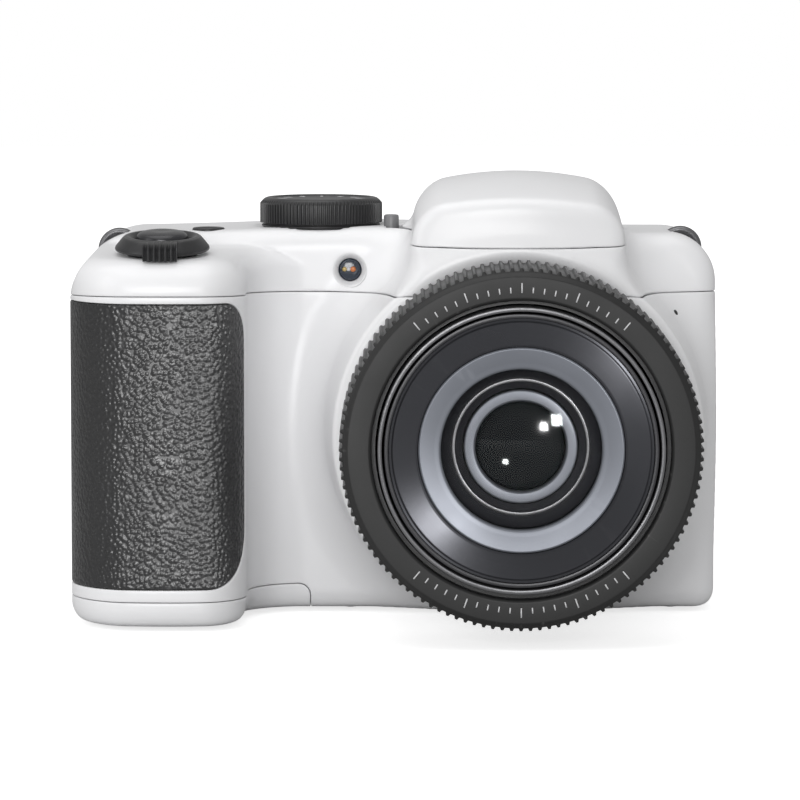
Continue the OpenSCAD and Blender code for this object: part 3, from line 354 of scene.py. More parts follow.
def finish(name, colour, roughness, metallic=0.0, coat=0.0, mottle=0.05, rub=0.25, dusty=0.05,
           grain_scale=5000.0, grain_depth=0.02, relief=None, specular=0.5):
    """A material with mottled colour, rubbed edges, dust and a fine relief; relief is a group's outputs."""
    material = bpy.data.materials.new(name)
    material.use_nodes = True
    tree = material.node_tree
    shader = tree.nodes["Principled BSDF"]
    shader.inputs["Metallic"].default_value = metallic
    shader.inputs["Coat Weight"].default_value = coat
    shader.inputs["Coat Roughness"].default_value = 0.2
    shader.inputs["Specular IOR Level"].default_value = specular
    marks = place_group(tree, grain, Scale=grain_scale)
    base = mix_colour(tree, marks["Mottle"], shade(colour, 1 - mottle), shade(colour, 1 + mottle))
    if rub:
        edge = place_group(tree, wear)["Edge"]
        base = mix_colour(tree, product(tree, edge, rub), base, shade(tuple(c + 0.04 for c in colour), 1.5))
    if dusty:
        specks = place_group(tree, dust)["Dust"]
        base = mix_colour(tree, product(tree, specks, dusty), base, (0.55, 0.54, 0.52))
    tree.links.new(base, shader.inputs["Base Color"])
    gloss = map_range(tree, marks["Mottle"], 0.3, 0.7, roughness - 0.05, roughness + 0.05)
    tree.links.new(gloss, shader.inputs["Roughness"])
    bump = tree.nodes.new("ShaderNodeBump")
    bump.inputs["Distance"].default_value = grain_depth * MM
    height = relief(tree) if relief else marks["Height"]
    tree.links.new(height, bump.inputs["Height"])
    tree.links.new(bump.outputs["Normal"], shader.inputs["Normal"])
    return material


def pebbles(tree):
    return place_group(tree, pebble)["Height"]


def fine_turning(tree):
    return place_group(tree, turning)["Height"]


def plain_settings(material, **values):
    """Constant values set on the shader's own sockets."""
    shader = material.node_tree.nodes["Principled BSDF"]
    for label, number in values.items():
        shader.inputs[label.replace("_", " ")].default_value = number
    return material


# %% [markdown]
# ## The list of finishes
# Each entry copies one material of a real camera. One call each, with a colour and a few strengths, keeps
# them easy to compare with the photo.

# %% All the finishes
paint = {
    "white_plastic": finish("white_plastic", (0.74, 0.74, 0.75), 0.36, coat=0.1, mottle=0.012, rub=0.0,
                            dusty=0.03, grain_scale=3500, grain_depth=0.006),
    "grip_rubber": finish("grip_rubber", (0.012, 0.012, 0.0125), 0.4, mottle=0.15, rub=0.3, dusty=0.05,
                          grain_depth=0.25, relief=pebbles),
    "black_plastic": finish("black_plastic", (0.016, 0.016, 0.017), 0.38, mottle=0.1, rub=0.25, dusty=0.04,
                            grain_depth=0.015),
    "ring_black": finish("ring_black", (0.014, 0.014, 0.014), 0.46, mottle=0.06, rub=0.5, dusty=0.02,
                         grain_depth=0.012, specular=0.35),
    "black_metal": finish("black_metal", (0.03, 0.03, 0.033), 0.3, metallic=0.3, mottle=0.1, rub=0.3, dusty=0.0,
                          grain_depth=0.01, relief=fine_turning),
    "turned_metal": finish("turned_metal", (0.045, 0.046, 0.052), 0.3, metallic=0.7, mottle=0.06, rub=0.1,
                           dusty=0.0, grain_depth=0.02, relief=fine_turning),
    "grey_metal": finish("grey_metal", (0.11, 0.117, 0.134), 0.4, metallic=0.5, mottle=0.05, rub=0.15,
                         dusty=0.0, grain_depth=0.006, relief=fine_turning),
    "steel": finish("steel", (0.56, 0.56, 0.57), 0.28, metallic=1.0, mottle=0.06, rub=0.1, dusty=0.02),
    "brass": finish("brass", (0.62, 0.46, 0.2), 0.3, metallic=1.0, mottle=0.08, rub=0.1, dusty=0.02),
    "circuit_board": finish("circuit_board", (0.02, 0.12, 0.05), 0.4, mottle=0.3, rub=0.1, grain_scale=900),
    "cell_wrap": finish("cell_wrap", (0.05, 0.05, 0.06), 0.25, coat=0.4, mottle=0.1, rub=0.1),
    "red_plastic": finish("red_plastic", (0.5, 0.02, 0.02), 0.35, mottle=0.08, rub=0.1),
    "pale_mark": finish("pale_mark", (0.55, 0.55, 0.56), 0.5, mottle=0.05, rub=0.0, dusty=0.0),
    "amber_lamp": finish("amber_lamp", (0.55, 0.17, 0.05), 0.15, coat=0.6, mottle=0.2, rub=0.0, dusty=0.0),
    "yellow_lamp": finish("yellow_lamp", (0.5, 0.36, 0.12), 0.15, coat=0.6, mottle=0.2, rub=0.0, dusty=0.0),
    "lamp_navy": finish("lamp_navy", (0.012, 0.02, 0.035), 0.12, coat=0.5, mottle=0.2, rub=0.0, dusty=0.0),
    "screen_black": finish("screen_black", (0.006, 0.006, 0.008), 0.08, coat=0.8, mottle=0.1, rub=0.0,
                           dusty=0.03, grain_depth=0.001),
    "dark_steel": finish("dark_steel", (0.16, 0.16, 0.165), 0.35, metallic=0.9, mottle=0.08, rub=0.2,
                         dusty=0.02),
    "bright_metal": finish("bright_metal", (0.85, 0.85, 0.86), 0.12, metallic=1.0, mottle=0.03, rub=0.0,
                           dusty=0.0),
    "card_blue": finish("card_blue", (0.02, 0.05, 0.16), 0.4, mottle=0.1, rub=0.1),
    "screen_grey": finish("screen_grey", (0.02, 0.022, 0.026), 0.3, mottle=0.05, rub=0.0, dusty=0.0),
    # Painted shade: near black for the shadowed inside of the microphone pinhole.
    "pit_black": finish("pit_black", (0.01, 0.01, 0.011), 0.6, mottle=0.1, rub=0.0, dusty=0.0),
}
# Opaque and near black: painted shade for the dark lens depth seen through the inner glass; its gloss shows
# real reflections.
paint["deep_glass"] = finish("deep_glass", (0.004, 0.005, 0.006), 0.06, mottle=0.2, rub=0.0, dusty=0.0,
                             grain_depth=0.0005, specular=0.15)
paint["grey_plastic"] = finish("grey_plastic", (0.16, 0.16, 0.165), 0.4, mottle=0.06, rub=0.2, grain_depth=0.01)
paint["rim_metal"] = finish("rim_metal", (0.12, 0.12, 0.125), 0.28, metallic=0.6, mottle=0.05, rub=0.3,
                            dusty=0.0, grain_depth=0.01)
paint["cell_black"] = finish("cell_black", (0.028, 0.028, 0.033), 0.45, mottle=0.1, rub=0.2, dusty=0.0,
                             grain_depth=0.01)
frosted_pane = finish("frosted_pane", (0.85, 0.87, 0.88), 0.3, mottle=0.03, rub=0.0, dusty=0.03,
                      grain_depth=0.002)
paint["frosted_pane"] = plain_settings(frosted_pane, Transmission_Weight=0.6, IOR=1.49)
print("finishes so far:", len(paint))

# %% [markdown]
# ## Glass and streaks
# Coated glass mirrors a little and lets the rest through. Refraction would be noisy here, so a clear
# shader is mixed with a mirror by the Fresnel share. Grooved metal draws highlights into streaks, which
# anisotropy does.

# %% Glass and streaks
def see_through(material, index):
    """Lets light pass a glossy material except where a surface of this refractive index would mirror it."""
    tree = material.node_tree
    clear = tree.nodes.new("ShaderNodeBsdfTransparent")
    mirror_share = tree.nodes.new("ShaderNodeFresnel")
    mirror_share.inputs["IOR"].default_value = index
    blend = tree.nodes.new("ShaderNodeMixShader")
    tree.links.new(mirror_share.outputs["Fac"], blend.inputs[0])
    tree.links.new(clear.outputs["BSDF"], blend.inputs[1])
    tree.links.new(tree.nodes["Principled BSDF"].outputs["BSDF"], blend.inputs[2])
    tree.links.new(blend.outputs["Shader"], tree.nodes["Material Output"].inputs["Surface"])
    return material


def along_grooves(material, stretch):
    """Spreads the gloss across grooves round the lens axis, which draws highlights into streaks."""
    tree = material.node_tree
    place = tree.nodes.new("ShaderNodeNewGeometry")
    reach = tree.nodes.new("ShaderNodeVectorMath")
    reach.operation = "SUBTRACT"
    reach.inputs[1].default_value = (LENS_X * MM, 0, LENS_Z * MM)
    flat = tree.nodes.new("ShaderNodeVectorMath")
    flat.operation = "MULTIPLY"
    flat.inputs[1].default_value = (1, 0, 1)
    tree.links.new(place.outputs["Position"], reach.inputs[0])
    tree.links.new(reach.outputs["Vector"], flat.inputs[0])
    shader = tree.nodes["Principled BSDF"]
    shader.inputs["Anisotropic"].default_value = stretch
    tree.links.new(flat.outputs["Vector"], shader.inputs["Tangent"])
    return material


paint["lens_glass"] = see_through(finish("lens_glass", (0.75, 0.8, 0.78), 0.04, metallic=1.0, mottle=0.02,
                                         rub=0.0, dusty=0.0, grain_depth=0.0002), 1.22)
paint["screen_pane"] = see_through(finish("screen_pane", (0.7, 0.72, 0.74), 0.05, metallic=1.0, mottle=0.02,
                                          rub=0.0, dusty=0.02, grain_depth=0.0002), 1.45)
along_grooves(paint["turned_metal"], 0.92)
along_grooves(paint["grey_metal"], 0.4)
print("finishes:", len(paint))

# %% [markdown]
# ## Forms made from distances
# The white body is a soft moulding: a slab, a grip, a lens shroud and a hump that flow into each other.
# A subdivision cage could do it, but every fillet would be guesswork. Here each form is a function that
# gives the distance to its surface, negative inside, and two forms meet with a fillet of a real radius.
# A grid then finds the surface, and each point is pulled exactly onto it.

# %% Joining distances
def round_join(a, b, r):
    """Union of two forms with a hollow fillet of radius r."""
    return np.maximum(r, np.minimum(a, b)) - np.hypot(np.maximum(r - a, 0), np.maximum(r - b, 0))


def round_meet(a, b, r):
    """What two forms share, with its edge rounded to radius r."""
    return np.minimum(-r, np.maximum(a, b)) + np.hypot(np.maximum(r + a, 0), np.maximum(r + b, 0))


def rounded_rect(u, v, low, high, radii):
    """Flat rectangle; its four radii stand at low u low v, high u low v, low u high v and both high."""
    mid_u, mid_v = (low[0] + high[0]) / 2, (low[1] + high[1]) / 2
    r = np.where(v < mid_v, np.where(u < mid_u, radii[0], radii[1]), np.where(u < mid_u, radii[2], radii[3]))
    du = np.abs(u - mid_u) - (high[0] - low[0]) / 2 + r
    dv = np.abs(v - mid_v) - (high[1] - low[1]) / 2 + r
    return np.minimum(np.maximum(du, dv), 0) + np.hypot(np.maximum(du, 0), np.maximum(dv, 0)) - r


def from_lens_axis(x, z):
    return np.hypot(x - LENS_X, z - LENS_Z)


# %% [markdown]
# ## Points on a form
# A form is only a formula. Its slope shows the way to its surface, so a point near the surface can be
# pulled onto it in a few steps.

# %% Points on a form
def slope(form, points, step=0.01):
    """Gradient of a form at points, by small steps to both sides."""
    columns = []
    for axis in range(3):
        shift = np.zeros(3)
        shift[axis] = step
        columns.append((form(*(points + shift).T) - form(*(points - shift).T)) / (2 * step))
    return np.stack(columns, axis=1)


def settle(form, points, rounds=4):
    """Points pulled onto the surface of a form."""
    for _ in range(rounds):
        gradient = slope(form, points)
        square = np.maximum((gradient ** 2).sum(axis=1), 0.05)
        points = points - (form(*points.T) / square)[:, None] * gradient
    return points


# %% [markdown]
# ## From form to skin
# Marching cubes would find the surface too, but with many thin triangles. Here each grid cell that the
# surface crosses gets one point. Neighbours become quads, evened out and pulled back onto the form.

# %% Skin of a form
def skin(form, low, high, cell):
    """Triangles over the surface of a form in a box, with one point in each grid cell that it crosses."""
    axes = [np.arange(a - 1.5 * cell, b + 2 * cell, cell) for a, b in zip(low, high)]
    grid = form(*np.meshgrid(*axes, indexing="ij"))
    inside = grid < 0
    corners = [(i, j, k) for i in (0, 1) for j in (0, 1) for k in (0, 1)]
    size = np.array(grid.shape) - 1
    count = sum(inside[i:i + size[0], j:j + size[1], k:k + size[2]].astype(np.int8) for i, j, k in corners)
    cells = np.argwhere((count > 0) & (count < 8))
    number = -np.ones(size, dtype=np.int64)
    number[tuple(cells.T)] = np.arange(len(cells))
    total, hits = np.zeros((len(cells), 3)), np.zeros(len(cells))
    for a in corners:
        for axis in range(3):
            if a[axis]:
                continue
            b = tuple(1 if n == axis else a[n] for n in range(3))
            at_a, at_b = (grid[tuple((cells + c).T)] for c in (a, b))
            crossed = (at_a < 0) != (at_b < 0)
            share = np.where(crossed, at_a / np.where(crossed, at_a - at_b, 1), 0)
            spot = np.array(a, float) + share[:, None] * (np.array(b) - np.array(a))
            total += spot * crossed[:, None]
            hits += crossed
    origin = np.array([axis[0] for axis in axes])
    points = origin + (cells + total / hits[:, None]) * cell
    quads = []
    for axis in range(3):
        ahead = [slice(None)] * 3
        behind = [slice(None)] * 3
        ahead[axis], behind[axis] = slice(1, None), slice(None, -1)
        edges = np.argwhere(inside[tuple(ahead)] != inside[tuple(behind)])
        u, v = [n for n in range(3) if n != axis]
        edges = edges[(edges[:, u] > 0) & (edges[:, v] > 0) & (edges[:, u] < size[u]) & (edges[:, v] < size[v])]
        outward = inside[tuple(edges.T)]
        ring = []
        for du, dv in ((1, 1), (0, 1), (0, 0), (1, 0)):
            back = np.zeros(3, dtype=np.int64)
            back[u], back[v] = du, dv
            ring.append(number[tuple((edges - back).T)])
        ring = np.stack(ring, axis=1)
        flip = outward if axis == 1 else ~outward
        ring[flip] = ring[flip][:, ::-1]
        quads.append(ring)
    quads = np.concatenate(quads)
    quads = quads[(quads >= 0).all(axis=1)]
    points = settle(form, points)
    for _ in range(2):
        pull, near = np.zeros_like(points), np.zeros(len(points))
        for n in range(4):
            np.add.at(pull, quads[:, n], points[quads[:, (n + 1) % 4]] + points[quads[:, n - 1]])
            np.add.at(near, quads[:, n], 2)
        points = settle(form, 0.5 * points + 0.5 * pull / np.maximum(near, 1)[:, None])
    return points, np.concatenate([quads[:, [0, 1, 2]], quads[:, [0, 2, 3]]])


# %% [markdown]
# ## Cutting a skin along parting lines
# A real camera's covers meet at hairline gaps with softly rounded lips. The skin is cut where a zone's
# distance is zero. Points near the cut first slide onto it, so no thin splinters are left. The cut edge is
# then rolled inwards through a quarter circle and the wall is closed with an inner skin.

# %% Cut a skin
def trim(mesh, form, zone, cell):
    """The part of a skin where the zone is negative, cut cleanly along the zone's edge."""
    points, triangles = mesh
    value = zone(*points.T)
    near = np.abs(value) < 0.3 * cell
    if near.any():
        normal = slope(form, points[near])
        normal /= np.linalg.norm(normal, axis=1)[:, None]
        across = slope(zone, points[near])
        across -= (across * normal).sum(axis=1)[:, None] * normal
        square = np.maximum((across ** 2).sum(axis=1), 0.1)
        moved = points.copy()
        moved[near] = settle(form, points[near] - (value[near] / square)[:, None] * across, 1)
        points = moved
        value = value.copy()
        value[near] = 0
    side = np.sign(value)[triangles]
    whole = triangles[(side.max(axis=1) <= 0) & (side.min(axis=1) < 0)]
    mixed = triangles[(side.max(axis=1) > 0) & (side.min(axis=1) < 0)]
    cuts, extra, pieces = {}, [], []
    for triangle in mixed:
        shape = []
        for n in range(3):
            a, b = triangle[n], triangle[(n + 1) % 3]
            if value[a] <= 0:
                shape.append(a)
            if value[a] * value[b] < 0:
                key = (min(a, b), max(a, b))
                if key not in cuts:
                    cuts[key] = len(points) + len(extra)
                    share = value[key[0]] / (value[key[0]] - value[key[1]])
                    extra.append(points[key[0]] + share * (points[key[1]] - points[key[0]]))
                shape.append(cuts[key])
        pieces += [(shape[0], shape[n], shape[n + 1]) for n in range(1, len(shape) - 1)]
    points = np.concatenate([points, np.array(extra)]) if extra else points
    triangles = np.concatenate([whole, np.array(pieces, dtype=np.int64)]) if pieces else whole
    used = np.unique(triangles)
    renumber = np.zeros(len(points), dtype=np.int64)
    renumber[used] = np.arange(len(used))
    return points[used], renumber[triangles]


# %% [markdown]
# ## Rolled edges
# A cut skin is as thin as paper. A Solidify modifier would give it a wall with square edges. Rolling the
# rim adds the soft lip that catches light along every seam.

# %% Rolled edge and wall
def open_edges(triangles):
    """Edges with a face at one side only, in the direction of that face."""
    edges = np.concatenate([triangles[:, [0, 1]], triangles[:, [1, 2]], triangles[:, [2, 0]]])
    key = np.sort(edges, axis=1)
    _, first, times = np.unique(key, axis=0, return_index=True, return_counts=True)
    return edges[first[times == 1]]


def walled(mesh, form, wall, lip=0.22, turns=3):
    """A skin with its cut edges rolled in by a lip radius and closed behind by an inner skin."""
    points, triangles = mesh
    normal = slope(form, points)
    normal /= np.linalg.norm(normal, axis=1)[:, None]
    edges = open_edges(triangles)
    outward = np.zeros_like(points)
    for a in (0, 1):
        step = np.cross(points[edges[:, 1]] - points[edges[:, 0]], normal[edges[:, a]])
        np.add.at(outward, edges[:, a], step)
    length = np.linalg.norm(outward, axis=1)
    rim = np.unique(edges)
    outward[rim] /= np.maximum(length[rim], 1e-9)[:, None]
    layers = [points]
    for n in range(1, turns + 1):
        angle = math.pi / 2 * n / turns
        rolled = math.sin(angle) * outward[rim] - (1 - math.cos(angle)) * normal[rim]
        layers.append(points[rim] + lip * rolled)
    inner = points - wall * normal
    inner[rim] += lip * outward[rim]
    layers.append(inner)
    place = np.zeros(len(points), dtype=np.int64)
    place[rim] = np.arange(len(rim))
    faces = [triangles]
    base = len(points)
    before = edges
    for n in range(turns):
        after = place[edges] + base
        faces += [np.stack([before[:, 1], before[:, 0], after[:, 0]], 1),
                  np.stack([before[:, 1], after[:, 0], after[:, 1]], 1)]
        before = after
        base += len(rim)
    after = edges + base
    faces += [np.stack([before[:, 1], before[:, 0], after[:, 0]], 1),
              np.stack([before[:, 1], after[:, 0], after[:, 1]], 1)]
    faces.append(triangles[:, ::-1] + base)
    return np.concatenate(layers), np.concatenate(faces)


# %% [markdown]
# ## Pieces
# Each visible piece is one object. It rides on a body, has a slot for its finish and hides the solids that
# it stands for. One function does this for all, so no piece misses a step.

# %% Turning meshes into pieces
def add_piece(name, points, faces, finish_name, body, slot, *replaced):
    """A Blender object from points in millimetres that rides on a body and stands for solids."""
    mesh = bpy.data.meshes.new(name)
    mesh.from_pydata((np.asarray(points, float) * MM).tolist(), [], [list(map(int, f)) for f in faces])
    mesh.validate()
    mesh.shade_smooth()
    mesh.materials.append(paint[finish_name])
    piece = bpy.data.objects.new(name, mesh)
    bpy.context.scene.collection.objects.link(piece)
    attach(piece, body)
    if replaced:
        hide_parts(*replaced)
    print(f"{name}: {len(mesh.polygons)} faces on {body}")
    return piece


def sharpen(piece, degrees=35):
    """Smooth faces that keep every edge sharper than an angle."""
    piece.data.set_sharp_from_angle(angle=math.radians(degrees))
    return piece


# %% [markdown]
# ## The white body as one flowing form
# On the real camera the covers are moulded so that their outsides run through each parting line. So the
# whole outside is defined once here, and the covers are cut from it afterwards.

# %% Slab and grip
SHOULDER_GRIP, SHOULDER_LENS, FOOT_R, EDGE_R = 12, 9, 4, 4
HOLLOW_R, FINGER_R, OUTER_R, CROWN_R = 11, 8, 11, 6
GRIP_CREST, GRIP_BOW = LEFT + 18, 110
SEAT_TILT = math.tan(math.radians(6))
SEAT_Z = TOP - 2.0
SEAT_Y = GRIP_FRONT + 13.4
LEVER_X, LEVER_Z = LEFT + 16.8, TOP - 2.2
DISH_R = 9.3
DIAL_X, DIAL_Y = middle_mm("mode_dial")[:2]
DIAL_WELL_R, DIAL_WELL_Z = 11.9, TOP + 0.42
CROWN_LIFT, CROWN_X, CROWN_SPREAD = 1.1, LEFT + 51, 26


def silhouette(x, z):
    """Front outline of the body, with a top that rises a little beside the hump."""
    lift = CROWN_LIFT * np.exp(-((x - CROWN_X) / CROWN_SPREAD) ** 2)
    level = z - lift * np.clip((z - TOP / 2) / (TOP / 2), 0, 1)
    return rounded_rect(x, level, (LEFT, 0), (RIGHT, TOP), (FOOT_R, FOOT_R, SHOULDER_GRIP, SHOULDER_LENS))


def slab(x, y, z):
    depth = np.abs(y - (FRONT + BACK) / 2) - (BACK - FRONT) / 2
    return round_meet(silhouette(x, z), depth, EDGE_R)


def grip(x, y, z):
    """The grip and the hollow where the fingertips lie."""
    plan = round_join(x - GRIP_SIDE, FRONT - y, HOLLOW_R)
    bow = (x - GRIP_CREST) ** 2 / GRIP_BOW
    plan = round_meet(plan, GRIP_FRONT + bow - y, FINGER_R)
    plan = round_meet(plan, LEFT + 0.05 - x, OUTER_R)
    plan = np.maximum(plan, x - GRIP_SIDE - HOLLOW_R - 2)
    plan = np.maximum(plan, y - FRONT - 12)
    seat = (z - SEAT_Z - (y - SEAT_Y) * SEAT_TILT) / math.hypot(1, SEAT_TILT)
    crown = round_meet(seat, z - TOP + 0.05, 6)
    form = round_meet(plan, crown, CROWN_R)
    form = round_meet(form, 0.05 - z, FOOT_R)
    return np.maximum(form, silhouette(x, z) + 0.05)


print(f"grip stands {FRONT - GRIP_FRONT:.1f} before the slab")

# %% [markdown]
# ## Shroud and hump
# The shroud is the flared collar behind the lens ring, and the hump houses the flash. Booleans would leave
# the fillets between them to chance. As distances they join with one radius each.

# %% Shroud and hump
SHROUD_R, SHROUD_FOOT_R = RING_R + 1.5, RING_R + 4.5
SHROUD_FRONT = RING_BACK + 0.2
LIP_Z = TOP - 1.04
HUMP_HALF = 19.2
HUMP_PEAK_Y = 8
BROW_DROP, TAIL_DROP, TAIL_NARROW = 4.6, 11.5, 3.0
ROOF_ARCH, FACE_BOW, SIDE_LEAN = 130, 160, 0.13
ROOF_EDGE_R, BROW_R, SCOOP_EDGE_R = 5, 3.2, 1.2
SCOOP_R, SCOOP_OUT, SCOOP_UP = 15.2, 14.1, 4.6


def shroud(x, y, z):
    """The flared collar behind the lens ring."""
    run = np.clip((y - SHROUD_FRONT) / (FRONT - SHROUD_FRONT), 0, 1.3)
    wall = from_lens_axis(x, z) - SHROUD_R - (SHROUD_FOOT_R - SHROUD_R) * run ** 2
    form = round_meet(wall, SHROUD_FRONT - y, 1.2)
    return np.maximum(form, y - FRONT - 4)


def hump(x, y, z):
    """The flash housing: an arched roof on leaning sides, with a scooped face under its brow."""
    side = np.abs(x - LENS_X)
    ahead = np.clip((HUMP_PEAK_Y - y) / (HUMP_PEAK_Y - BROW), 0, 1.2)
    behind = np.clip((y - HUMP_PEAK_Y) / (BACK - 3 - HUMP_PEAK_Y), 0, 1.2)
    crest = HUMP_TOP - BROW_DROP * ahead ** 2 - TAIL_DROP * behind ** 2.2
    roof = (z - crest + side ** 2 / ROOF_ARCH) / (1 + 0.3 * behind)
    narrow = HUMP_HALF - SIDE_LEAN * (z - TOP) - TAIL_NARROW * behind ** 2
    form = round_meet(roof, side - narrow, ROOF_EDGE_R)
    bow = side ** 2 / FACE_BOW
    form = round_meet(form, BROW + bow - y, BROW_R)
    scoop = SCOOP_R - np.hypot(y - BROW + SCOOP_OUT - bow, z - TOP - SCOOP_UP)
    form = round_meet(form, scoop, SCOOP_EDGE_R)
    form = round_meet(form, SHROUD_R - 0.2 - from_lens_axis(x, z), 0.8)
    form = round_meet(form, y - BACK + 4.5, 3)
    return np.maximum(form, TOP - 14 - z)


print(f"hump {HUMP_TOP - TOP:.1f} over the top, shroud radius {SHROUD_R:.1f}")

# %% [markdown]
# ## Seats and pockets
# The lever, the lugs and the screws sit in the moulding. Their places are worked out once, since the body,
# its holes and the pieces themselves all need them.

# %% Seats and pockets
def seat_frame(x, y, z):
    """Distance from the lever's axis, and height over its sloping seat."""
    rise = math.hypot(1, SEAT_TILT)
    along = ((y - SEAT_Y) + (z - LEVER_Z) * SEAT_TILT) / rise
    height = (z - LEVER_Z - (y - SEAT_Y) * SEAT_TILT) / rise
    return np.hypot(x - LEVER_X, along), height


LUG_ANGLE, LUG_DEPTH, LUG_Y = math.radians(62), 2.6, middle_mm("strap_lugs")[1]
LUG_POCKET_R, LUG_POCKET_HALF = 2.9, 6
LUGS = []
for corner_x, corner_r, way in ((LEFT + SHOULDER_GRIP, SHOULDER_GRIP, -1),
                                (RIGHT - SHOULDER_LENS, SHOULDER_LENS, 1)):
    reach = corner_r - LUG_DEPTH
    LUGS.append((corner_x + way * reach * math.cos(LUG_ANGLE), LUG_Y,
                 TOP - corner_r + reach * math.sin(LUG_ANGLE)))
SCREW_R = 1.5
screw_low, screw_high = box_mm("base_screws")
SCREW_SPOTS = [(x, y, 0) for x in (screw_low[0] + SCREW_R, screw_high[0] - SCREW_R)
               for y in (screw_low[1] + SCREW_R, screw_high[1] - SCREW_R)]
BUSH = middle_mm("tripod_bush")


def lug_pocket(x, y, z):
    """Negative in the two strap pockets."""
    pockets = []
    for lug, way in zip(LUGS, (-1, 1)):
        out = (x - lug[0]) * way * math.cos(LUG_ANGLE) + (z - lug[2]) * math.sin(LUG_ANGLE)
        across = (z - lug[2]) * math.cos(LUG_ANGLE) - (x - lug[0]) * way * math.sin(LUG_ANGLE)
        trough = np.hypot(np.minimum(out, 0), across) - LUG_POCKET_R
        pockets.append(np.maximum(trough, np.abs(y - lug[1]) - LUG_POCKET_HALF))
    return np.minimum(*pockets)


print("strap lugs at", np.round(LUGS, 1).tolist())

# %% [markdown]
# ## The whole body
# The forms are joined in order, and the seats are taken out of them with small edge radii. The skin of the
# whole is found once, and every cover is cut from it.

# %% The whole body
SHROUD_FILLET, HUMP_FILLET = 7, 3.5
BASE_EDGE_R, SEAT_EDGE_R, POCKET_EDGE_R = 1.5, 0.5, 0.6


def body(x, y, z):
    """The whole outside of the camera's mouldings."""
    form = np.minimum(slab(x, y, z), grip(x, y, z))
    form = round_join(form, shroud(x, y, z), SHROUD_FILLET)
    form = np.maximum(form, silhouette(x, z))
    form = round_meet(form, -z, BASE_EDGE_R)
    form = round_join(form, hump(x, y, z), HUMP_FILLET)
    reach, height = seat_frame(x, y, z)
    dish = np.maximum(reach - DISH_R, -height)
    form = round_meet(form, -dish, SEAT_EDGE_R)
    well = np.maximum(np.hypot(x - DIAL_X, y - DIAL_Y) - DIAL_WELL_R, DIAL_WELL_Z - z)
    form = round_meet(form, -well, SEAT_EDGE_R)
    return round_meet(form, -lug_pocket(x, y, z), POCKET_EDGE_R)


CELL = 0.75
body_skin = skin(body, (LEFT, GRIP_FRONT, 0), (RIGHT, BACK, HUMP_TOP), CELL)
print("body skin:", len(body_skin[0]), "points")

# %% [markdown]
# ## Parting lines
# Each cover is a zone of the body. A zone is again a distance, so the same cutting works for the sloping
# seam under the top cover, for the rounded corner of the battery door and for round key holes.

# %% Zones
SEAM_Z, SEAM_SLOPE = 59.3, math.tan(math.radians(2))
LID_SLOPE = math.tan(math.radians(4.1))
SLOT_END, LID_SWING = 4.6, math.radians(50)
GAP, LIP = 0.12, 0.22
DOOR_CORNER = 2.2
PAD_LOW, PAD_HIGH = box_mm("grip_pad")[0][2], box_mm("grip_pad")[1][2]


def under_seam(x, y, z):
    """Negative under the sloping seam of the top cover."""
    return z - SEAM_Z - (FRONT - y) * SEAM_SLOPE


def in_lid(x, y, z):
    """Negative in the part of the hump that lifts with the flash."""
    seam = LIP_Z + (y - BROW) * LID_SLOPE - z
    tail = round_meet(y - HINGE_Y - SLOT_END, seam, 2)
    side = np.abs(x - LENS_X) - HUMP_HALF - 5
    return np.maximum(np.maximum(tail, seam), side)


def lid_end(x, y, z):
    """Negative in what stays clear of the top cover behind the hinge when the lid swings."""
    return (y - HINGE_Y) * math.sin(LID_SWING) - (z - HINGE_Z) * math.cos(LID_SWING)


def in_door(x, y, z):
    return round_meet(z - DOOR_H, x - DOOR_END, DOOR_CORNER)


# %% [markdown]
# ## The pad's zone
# The rubber pad wraps round the grip. A flat outline would stretch at the corners, so its outline is drawn
# on the unrolled surface, by the length along the grip.

# %% Zone of the pad
def wrap(x, y):
    """How far round the grip's front a point lies, measured along its surface from the finger corner."""
    finger_x, finger_y = GRIP_SIDE - FINGER_R, GRIP_FRONT + FINGER_R
    outer_x, outer_y = LEFT + OUTER_R, GRIP_FRONT + OUTER_R
    at_finger = FINGER_R * np.arctan2(np.maximum(x - finger_x, 0), np.maximum(finger_y - y, 1e-6))
    at_finger += np.maximum(y - finger_y, 0)
    at_outer = OUTER_R * np.arctan2(np.maximum(outer_x - x, 0), np.maximum(outer_y - y, 1e-6))
    at_outer += np.maximum(y - outer_y, 0)
    run = np.where(x > finger_x, at_finger, x - finger_x)
    return np.where(x < outer_x, outer_x - finger_x - at_outer, run)


PAD_END, PAD_START = 12.4, -39.5


def in_pad(x, y, z):
    """Negative where the rubber pad lies on the grip."""
    sheet = rounded_rect(wrap(x, y), z, (PAD_START, PAD_LOW), (PAD_END, PAD_HIGH), (4, 11, 2.5, 7))
    return np.maximum(sheet, np.maximum(y - FRONT, x - GRIP_SIDE - 1))


# %% [markdown]
# ## Cutting by zones
# A cover keeps some zones and loses others. Each cut leaves half of the gap and room for the rolled lip,
# so that neighbours meet at an even hairline.

# %% Pieces of the body
def hole(centre, radius, axis):
    """Negative inside a round hole along an axis."""
    def zone(x, y, z):
        flat = [c for n, c in enumerate((x, y, z)) if n != axis]
        return np.hypot(flat[0] - centre[0], flat[1] - centre[1]) - radius
    return zone


def piece_of_body(keep, cut=()):
    """The body's skin where every zone in keep is negative and every zone in cut is positive."""
    mesh = body_skin
    inset = GAP / 2 + LIP
    for zone in keep:
        mesh = trim(mesh, body, lambda x, y, z: zone(x, y, z) + inset, CELL)
    for zone in cut:
        mesh = trim(mesh, body, lambda x, y, z: inset - zone(x, y, z), CELL)
    return mesh


# %% [markdown]
# ## Holes
# Every button needs a hole with a hairline gap. Booleans would leave no rounded lip. A hole is therefore a
# zone too, limited in depth so that it spares the far wall.

# %% Holes in the covers
LENS_HOLE_R, LEVER_HOLE_R, LAMP_HOLE_R, SCREW_HOLE_R, BUSH_HOLE_R = 29.4, 6.3, 2.95, 1.55, 5.0
ring_hole = hole((LENS_X, LENS_Z), LENS_HOLE_R, 1)


def lens_opening(x, y, z):
    return np.maximum(ring_hole(x, y, z), y - FRONT - 5)


